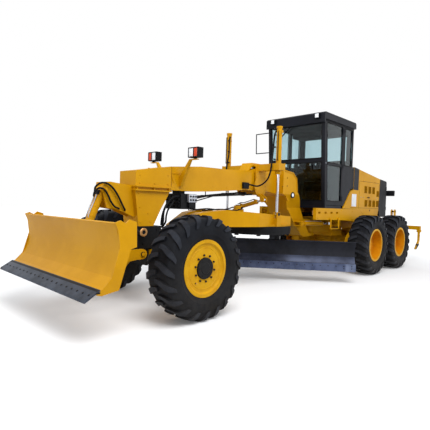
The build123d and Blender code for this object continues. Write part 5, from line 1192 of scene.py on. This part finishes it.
class GRADER_OT_blades(bpy.types.Operator):
    """Adds worn zones, edge bolts, end bits and tips to the moldboard, the front blade and the ripper"""

    bl_idname = "grader.blades"
    bl_label = "Blades and ripper"

    def execute(self, context):
        bm = bmesh.new()
        left, right = BLADE_MIDDLE + BLADE_HALF, BLADE_MIDDLE - BLADE_HALF
        # bolts of the cutting edge in its leaning face, and the end bits
        lean = Vector((0.150, 0, 0.020)).normalized()
        square = (BLADE_AHEAD * lean.x + Vector((0, 0, lean.z))).normalized()
        for number in range(24):
            s = right + 0.080 + (2 * BLADE_HALF - 0.160) * number / 23
            for z in (0.300, 0.345):
                ahead = -0.168 - (z - 0.240) * 0.020 / 0.150
                if number in (0, 1, 22, 23) or z > 0.32:
                    rod(bm, on_blade(ahead - 0.002, s, z), on_blade(ahead - 0.002, s, z) + square * 0.007, 0.011, 12, 1)
        for s_from, s_to in ((left - 0.200, left - 0.006), (right + 0.006, right + 0.200)):
            bit = [(-0.1678, 0.2405), (-0.1630, 0.2405), (-0.1830, 0.3900), (-0.1878, 0.3900)]
            blade_strip(bm, bit, s_from, s_to, 0)
        # worn band of the moldboard above its edge
        heights = [0.392 + 0.021 * number for number in range(7)]
        band = [(blade_face(z) + 0.0010, z) for z in heights] + [(blade_face(z) - 0.003, z) for z in reversed(heights)]
        blade_strip(bm, band, left - 0.004, right + 0.004, 2)
        put("blade_edge_trim", bm, "moldboard", ["end_bit_steel", "cast_iron", "worn_band"])

        bm = bmesh.new()
        for s in (0.596, -0.596):
            step = BLADE_ALONG * (1 if s > 0 else -1)
            start = on_blade(-0.470, s, 0.600)
            hex_head(bm, start, step, 0.034, 0.012, 0)
        for s in (0.455, -0.700):
            rod(bm, on_blade(-0.400, s - 0.010, 0.490), on_blade(-0.400, s + 0.016, 0.490), 0.0375, 28, 0)
        tube(bm, [on_blade(-0.400, 0.440, 0.524), on_blade(-0.400, 0.420, 0.538), on_blade(-0.400, 0.0, 0.536),
                  on_blade(-0.400, -0.660, 0.538), on_blade(-0.400, -0.680, 0.522)], 0.008, 8, material_index=1)
        put("blade_carrier_trim", bm, "blade_carrier", ["cast_iron", "zinc"])

        bm = bmesh.new()
        for number in range(20):
            y = -1.170 + 2.340 * number / 19
            face = at(1.545, y, 0.549)
            rod(bm, face, face + Vector((0.0020, 0, 0.0034)) * 1.6, 0.012, 12, 1)
        for side in (1, -1):
            low, high = sorted((side * 1.2305, side * 1.2200))
            # thin black step along the edge's end
            box_between(bm, at(1.455, low, 0.560), at(1.500, high, 0.578), 0.0, 1)
            out = Vector((0, side, 0))
            hex_head(bm, at(1.235, side * 1.208, 1.262), -out, 0.018, 0.010, 2)
            for x in (1.285, 1.150):
                hex_head(bm, at(x, side * 0.2325, 0.700), out, 0.014, 0.010, 2)
        # wear plate let into the curved face, thickest where the arms stand behind it
        steps = 26
        skin = []
        for number in range(steps + 1):
            share = number / steps
            z = 0.704 + (1.262 - 0.704) * share
            skin.append((front_blade_face(z) + 0.0004 + 0.0100 * min(1.0, 3.2 * share, 3.2 * (1 - share)), z))
        back = [(front_blade_face(z) - 0.004, z) for x, z in reversed(skin)]
        prism(bm, [at(x, -1.2095, z) for x, z in skin + back], Vector((0, 2.419, 0)), 2)
        strip = [(1.462, 0.601), (1.490, 0.586), (1.487, 0.582), (1.459, 0.5965)]
        prism(bm, [at(x, -1.229, z) for x, z in strip], Vector((0, 2.458, 0)), 1)
        put("front_blade_trim", bm, "front_blade", ["edge_steel", "black_paint", "yellow_paint"])

        bm = bmesh.new()
        for y in (-1.165, 0.0, 1.165):
            tip = [(-8.640, 0.525), (-8.600, 0.4795), (-8.5045, 0.3845), (-8.5395, 0.3745), (-8.740, 0.4795),
                   (-8.775, 0.525)]
            prism(bm, [at(x, y - 0.0265, z) for x, z in tip], Vector((0, 0.053, 0)))
            rod(bm, at(-8.680, y - 0.031, 0.505), at(-8.680, y + 0.031, 0.505), 0.010, 12, 1)
            for z in (0.900, 0.760):
                rod(bm, at(-8.770, y - 0.028, z), at(-8.770, y + 0.028, z), 0.014, 16, 1)
            box_between(bm, at(-8.8595, y - 0.050, 0.860), at(-8.7405, y - 0.023, 0.931), 0.003, 2)
            box_between(bm, at(-8.8595, y + 0.023, 0.860), at(-8.7405, y + 0.050, 0.931), 0.003, 2)
        # stands with an eye for the spare pin, either side of the mast
        for side in (1, -1):
            for y in (0.380, 0.470):
                low, high = sorted((side * (y - 0.010), side * (y + 0.010)))
                stand = [(-8.850, 1.036), (-8.740, 1.036), (-8.730, 1.300), (-8.715, 1.420), (-8.730, 1.480),
                         (-8.780, 1.505), (-8.840, 1.485), (-8.860, 1.430), (-8.850, 1.300)]
                prism(bm, [at(x, low, z) for x, z in stand], Vector((0, high - low, 0)), 2)
            low, high = sorted((side * 0.362, side * 0.488))
            rod(bm, at(-8.785, low, 1.440), at(-8.785, high, 1.440), 0.024, 20, 1)
            rod(bm, at(-8.550, side * 0.060, 1.400), at(-8.550, side * 0.070, 1.400), 0.028, 20, 1)
            rod(bm, at(-7.550, side * 0.356, 0.750), at(-7.550, side * 0.360, 0.750), 0.045, 24, 2)
        put("ripper_trim", bm, "ripper", ["black_paint", "cast_iron", "yellow_paint"])

        # skirt below the circle with its guide pads
        bm = bmesh.new()
        skirt = [(0.694, 1.030), (0.694, 0.978), (0.682, 0.966), (0.628, 0.966), (0.622, 0.978), (0.622, 1.030)]
        ring = [bm.verts.new(at(CIRCLE_X + radius, 0, z)) for radius, z in skirt]
        edges = [bm.edges.new((ring[number], ring[(number + 1) % len(ring)])) for number in range(len(ring))]
        bmesh.ops.spin(bm, geom=ring + edges, cent=at(CIRCLE_X, 0, 0), axis=(0, 0, 1), angle=2 * pi, steps=96,
                       use_merge=True, use_duplicate=False)
        bmesh.ops.recalc_face_normals(bm, faces=bm.faces)
        for number in range(10):
            turn = Matrix.Translation(at(CIRCLE_X, 0, 0)) @ Matrix.Rotation(2 * pi * (number + 0.25) / 10, 4, "Z")
            box_between(bm, Vector((0.634, -0.036, 0.944)), Vector((0.676, 0.036, 0.970)), 0.005, 0, turn)
        put("circle_skirt", bm, "circle", ["black_paint"])

        # bolts and pipes of the drawbar
        bm = bmesh.new()
        for number in range(16):
            angle = 2 * pi * (number + 0.5) / 16
            place = at(CIRCLE_X + 0.640 * cos(angle), 0.640 * sin(angle), 1.1523)
            if abs(place.y) < 0.43:
                hex_head(bm, place, (0, 0, 1), 0.013, 0.012, 0)
        for number in range(8):
            angle = 2 * pi * number / 8
            hex_head(bm, at(-2.045 + 0.092 * cos(angle), 0.092 * sin(angle), 1.410), (0, 0, 1), 0.010, 0.009, 1)
        rod(bm, at(-2.045, 0, 1.478), at(-2.045, 0, 1.496), 0.050, 28, 1)
        for side in (1, -1):
            hex_head(bm, at(-2.045, side * 0.078, 1.445), (0, side, 0), 0.015, 0.016, 1)
            tube(bm, [
                (-2.045, 0.092, 1.445), (-2.030, 0.125, 1.445), (-1.960, 0.150, 1.420), (-1.750, 0.180, 1.392),
                (-1.400, 0.165, 1.408), (-1.000, 0.120, 1.382),
            ], 0.011, 8, material_index=2, side=side)
            rod(bm, at(SADDLE_X, side * 0.561, 1.345), at(SADDLE_X, side * 0.572, 1.345), 0.030, 20, 1)
            rod(bm, at(SADDLE_X, side * 0.650, 1.345), at(SADDLE_X, side * 0.664, 1.345), 0.030, 20, 1)
        put("drawbar_trim", bm, "drawbar", ["yellow_paint", "cast_iron", "hose_rubber"])
        return {"FINISHED"}


# ---------------------------------------------------------------- stage
def seen_rays(tree):
    """Socket that is 1 for camera, transmission and glossy rays, and 0 for the light that the stage gives."""
    path = node(tree, "LightPath")
    socket = path.outputs["Is Camera Ray"]
    for name in ("Is Transmission Ray", "Is Glossy Ray"):
        either = node(tree, "Math", operation="MAXIMUM")
        tree.links.new(socket, either.inputs[0])
        tree.links.new(path.outputs[name], either.inputs[1])
        socket = either.outputs["Value"]
    return socket


FLOOR_HALF = 60.0
CAMERA_PLACE = (3.434, 4.699, 1.492)       # from the front axle, the middle and the ground
CAMERA_YAW, CAMERA_PITCH, CAMERA_ROLL = radians(224.007), radians(-1.60), radians(1.79)
LIGHT_AIM = Vector((0.0, 0.0, 1.0))


def seen_or_lit(tree, lit, seen, output):
    """Gives a surface or sky one look for rays that are seen and another for the light that it gives."""
    mix = node(tree, "MixShader")
    tree.links.new(seen_rays(tree), mix.inputs["Fac"])
    tree.links.new(lit, mix.inputs[1])
    tree.links.new(seen, mix.inputs[2])
    tree.links.new(mix.outputs["Shader"], node(tree, output).inputs["Surface"])


def floor_material():
    """Pale floor that fades into the white backdrop."""
    ground = bpy.data.materials.new("studio_floor")
    ground.use_nodes = True
    tree = ground.node_tree
    link = tree.links.new
    tree.nodes.clear()
    paint = node(tree, "BsdfDiffuse", {"Color": (0.89, 0.89, 0.90, 1.0)})
    glow = node(tree, "Emission")
    distance = node(tree, "VectorMath", operation="LENGTH")
    link(node(tree, "TexCoord").outputs["Object"], distance.inputs[0])
    brighter = node(tree, "MapRange", {"From Min": 4.0, "From Max": 13.0, "To Min": 0.07, "To Max": 0.75})
    link(distance.outputs["Value"], brighter.inputs["Value"])
    link(brighter.outputs["Result"], glow.inputs["Strength"])
    seen = node(tree, "AddShader")
    link(paint.outputs["BSDF"], seen.inputs[0])
    link(glow.outputs["Emission"], seen.inputs[1])
    plain = node(tree, "BsdfDiffuse", {"Color": (0.62, 0.62, 0.63, 1.0)})
    seen_or_lit(tree, plain.outputs["BSDF"], seen.outputs["Shader"], "OutputMaterial")
    return ground


class GRADER_OT_stage(bpy.types.Operator):
    """Pale floor, soft studio light and the camera"""

    bl_idname = "grader.stage"
    bl_label = "Stage"

    def execute(self, context):
        sizes = context.scene.grader_stage
        scene = context.scene
        bm = bmesh.new()
        bmesh.ops.create_grid(bm, x_segments=1, y_segments=1, size=FLOOR_HALF)
        mesh = bpy.data.meshes.new("floor")
        bm.to_mesh(mesh)
        bm.free()
        floor = bpy.data.objects.new("floor", mesh)
        scene.collection.objects.link(floor)
        mesh.materials.append(floor_material())

        world = scene.world = bpy.data.worlds.new("studio")
        world.use_nodes = True
        tree = world.node_tree
        tree.nodes.clear()
        light = node(tree, "Background", {"Color": (0.94, 0.97, 1.0, 1.0), "Strength": sizes.sky})
        backdrop = node(tree, "Background", {"Color": (1.0, 1.0, 1.0, 1.0)})
        seen_or_lit(tree, light.outputs["Background"], backdrop.outputs["Background"], "OutputWorld")

        for name, place, size, power in (
            ("key_light", (5.0, 6.0, 9.5), 7.0, sizes.key_power),
            ("side_light", (-7.0, 9.0, 5.0), 6.0, sizes.fill_power),
            ("front_light", (12.0, -3.0, 5.0), 5.0, sizes.fill_power),
        ):
            lamp = bpy.data.lights.new(name, "AREA")
            lamp.energy = power
            lamp.size = size
            holder = bpy.data.objects.new(name, lamp)
            holder.location = place
            holder.rotation_euler = (LIGHT_AIM - Vector(place)).to_track_quat("-Z", "Y").to_euler()
            scene.collection.objects.link(holder)

        lens = bpy.data.cameras.new("camera")
        lens.lens = sizes.lens
        lens.sensor_width = 36.0
        lens.clip_end = 300.0
        camera = bpy.data.objects.new("camera", lens)
        level = cos(CAMERA_PITCH)
        forward = Vector((level * cos(CAMERA_YAW), level * sin(CAMERA_YAW), sin(CAMERA_PITCH)))
        right = forward.cross(Vector((0, 0, 1))).normalized()
        up = right.cross(forward)
        leaning_right = cos(CAMERA_ROLL) * right + sin(CAMERA_ROLL) * up
        leaning_up = cos(CAMERA_ROLL) * up - sin(CAMERA_ROLL) * right
        turn = Matrix((leaning_right, leaning_up, -forward)).transposed()
        camera.matrix_world = Matrix.Translation(at(*CAMERA_PLACE)) @ turn.to_4x4()
        scene.collection.objects.link(camera)
        scene.camera = camera
        scene.view_settings.view_transform = "Standard"
        return {"FINISHED"}


class GRADER_PT_sidebar(bpy.types.Panel):
    """Lists the steps that finish the grader"""

    bl_idname = "GRADER_PT_sidebar"
    bl_label = "Motor grader"
    bl_space_type = "VIEW_3D"
    bl_region_type = "UI"
    bl_category = "Grader"

    def draw(self, context):
        for name in ("lugs", "lug_height", "lug_width", "sweep"):
            self.layout.prop(context.scene.grader_tyres, name)
        for name in ("lens", "key_power", "fill_power", "sky"):
            self.layout.prop(context.scene.grader_stage, name)
        for step in STEPS:
            self.layout.operator(step.bl_idname)


STEPS = (
    GRADER_OT_paint, GRADER_OT_tyres, GRADER_OT_wheels, GRADER_OT_lamps, GRADER_OT_cab, GRADER_OT_hood,
    GRADER_OT_hoses, GRADER_OT_frame, GRADER_OT_blades, GRADER_OT_stage,
)
CLASSES = (GraderTyreSizes, GraderStageSizes, *STEPS, GRADER_PT_sidebar)


def register():
    for made_class in CLASSES:
        bpy.utils.register_class(made_class)
    bpy.types.Scene.grader_tyres = bpy.props.PointerProperty(type=GraderTyreSizes)
    bpy.types.Scene.grader_stage = bpy.props.PointerProperty(type=GraderStageSizes)


def unregister():
    del bpy.types.Scene.grader_stage
    del bpy.types.Scene.grader_tyres
    for made_class in reversed(CLASSES):
        bpy.utils.unregister_class(made_class)


def main():
    """Finishes the grader step by step."""
    register()
    for step in STEPS:
        group, action = step.bl_idname.split(".")
        getattr(getattr(bpy.ops, group), action)()


if __name__ == "__main__":
    main()
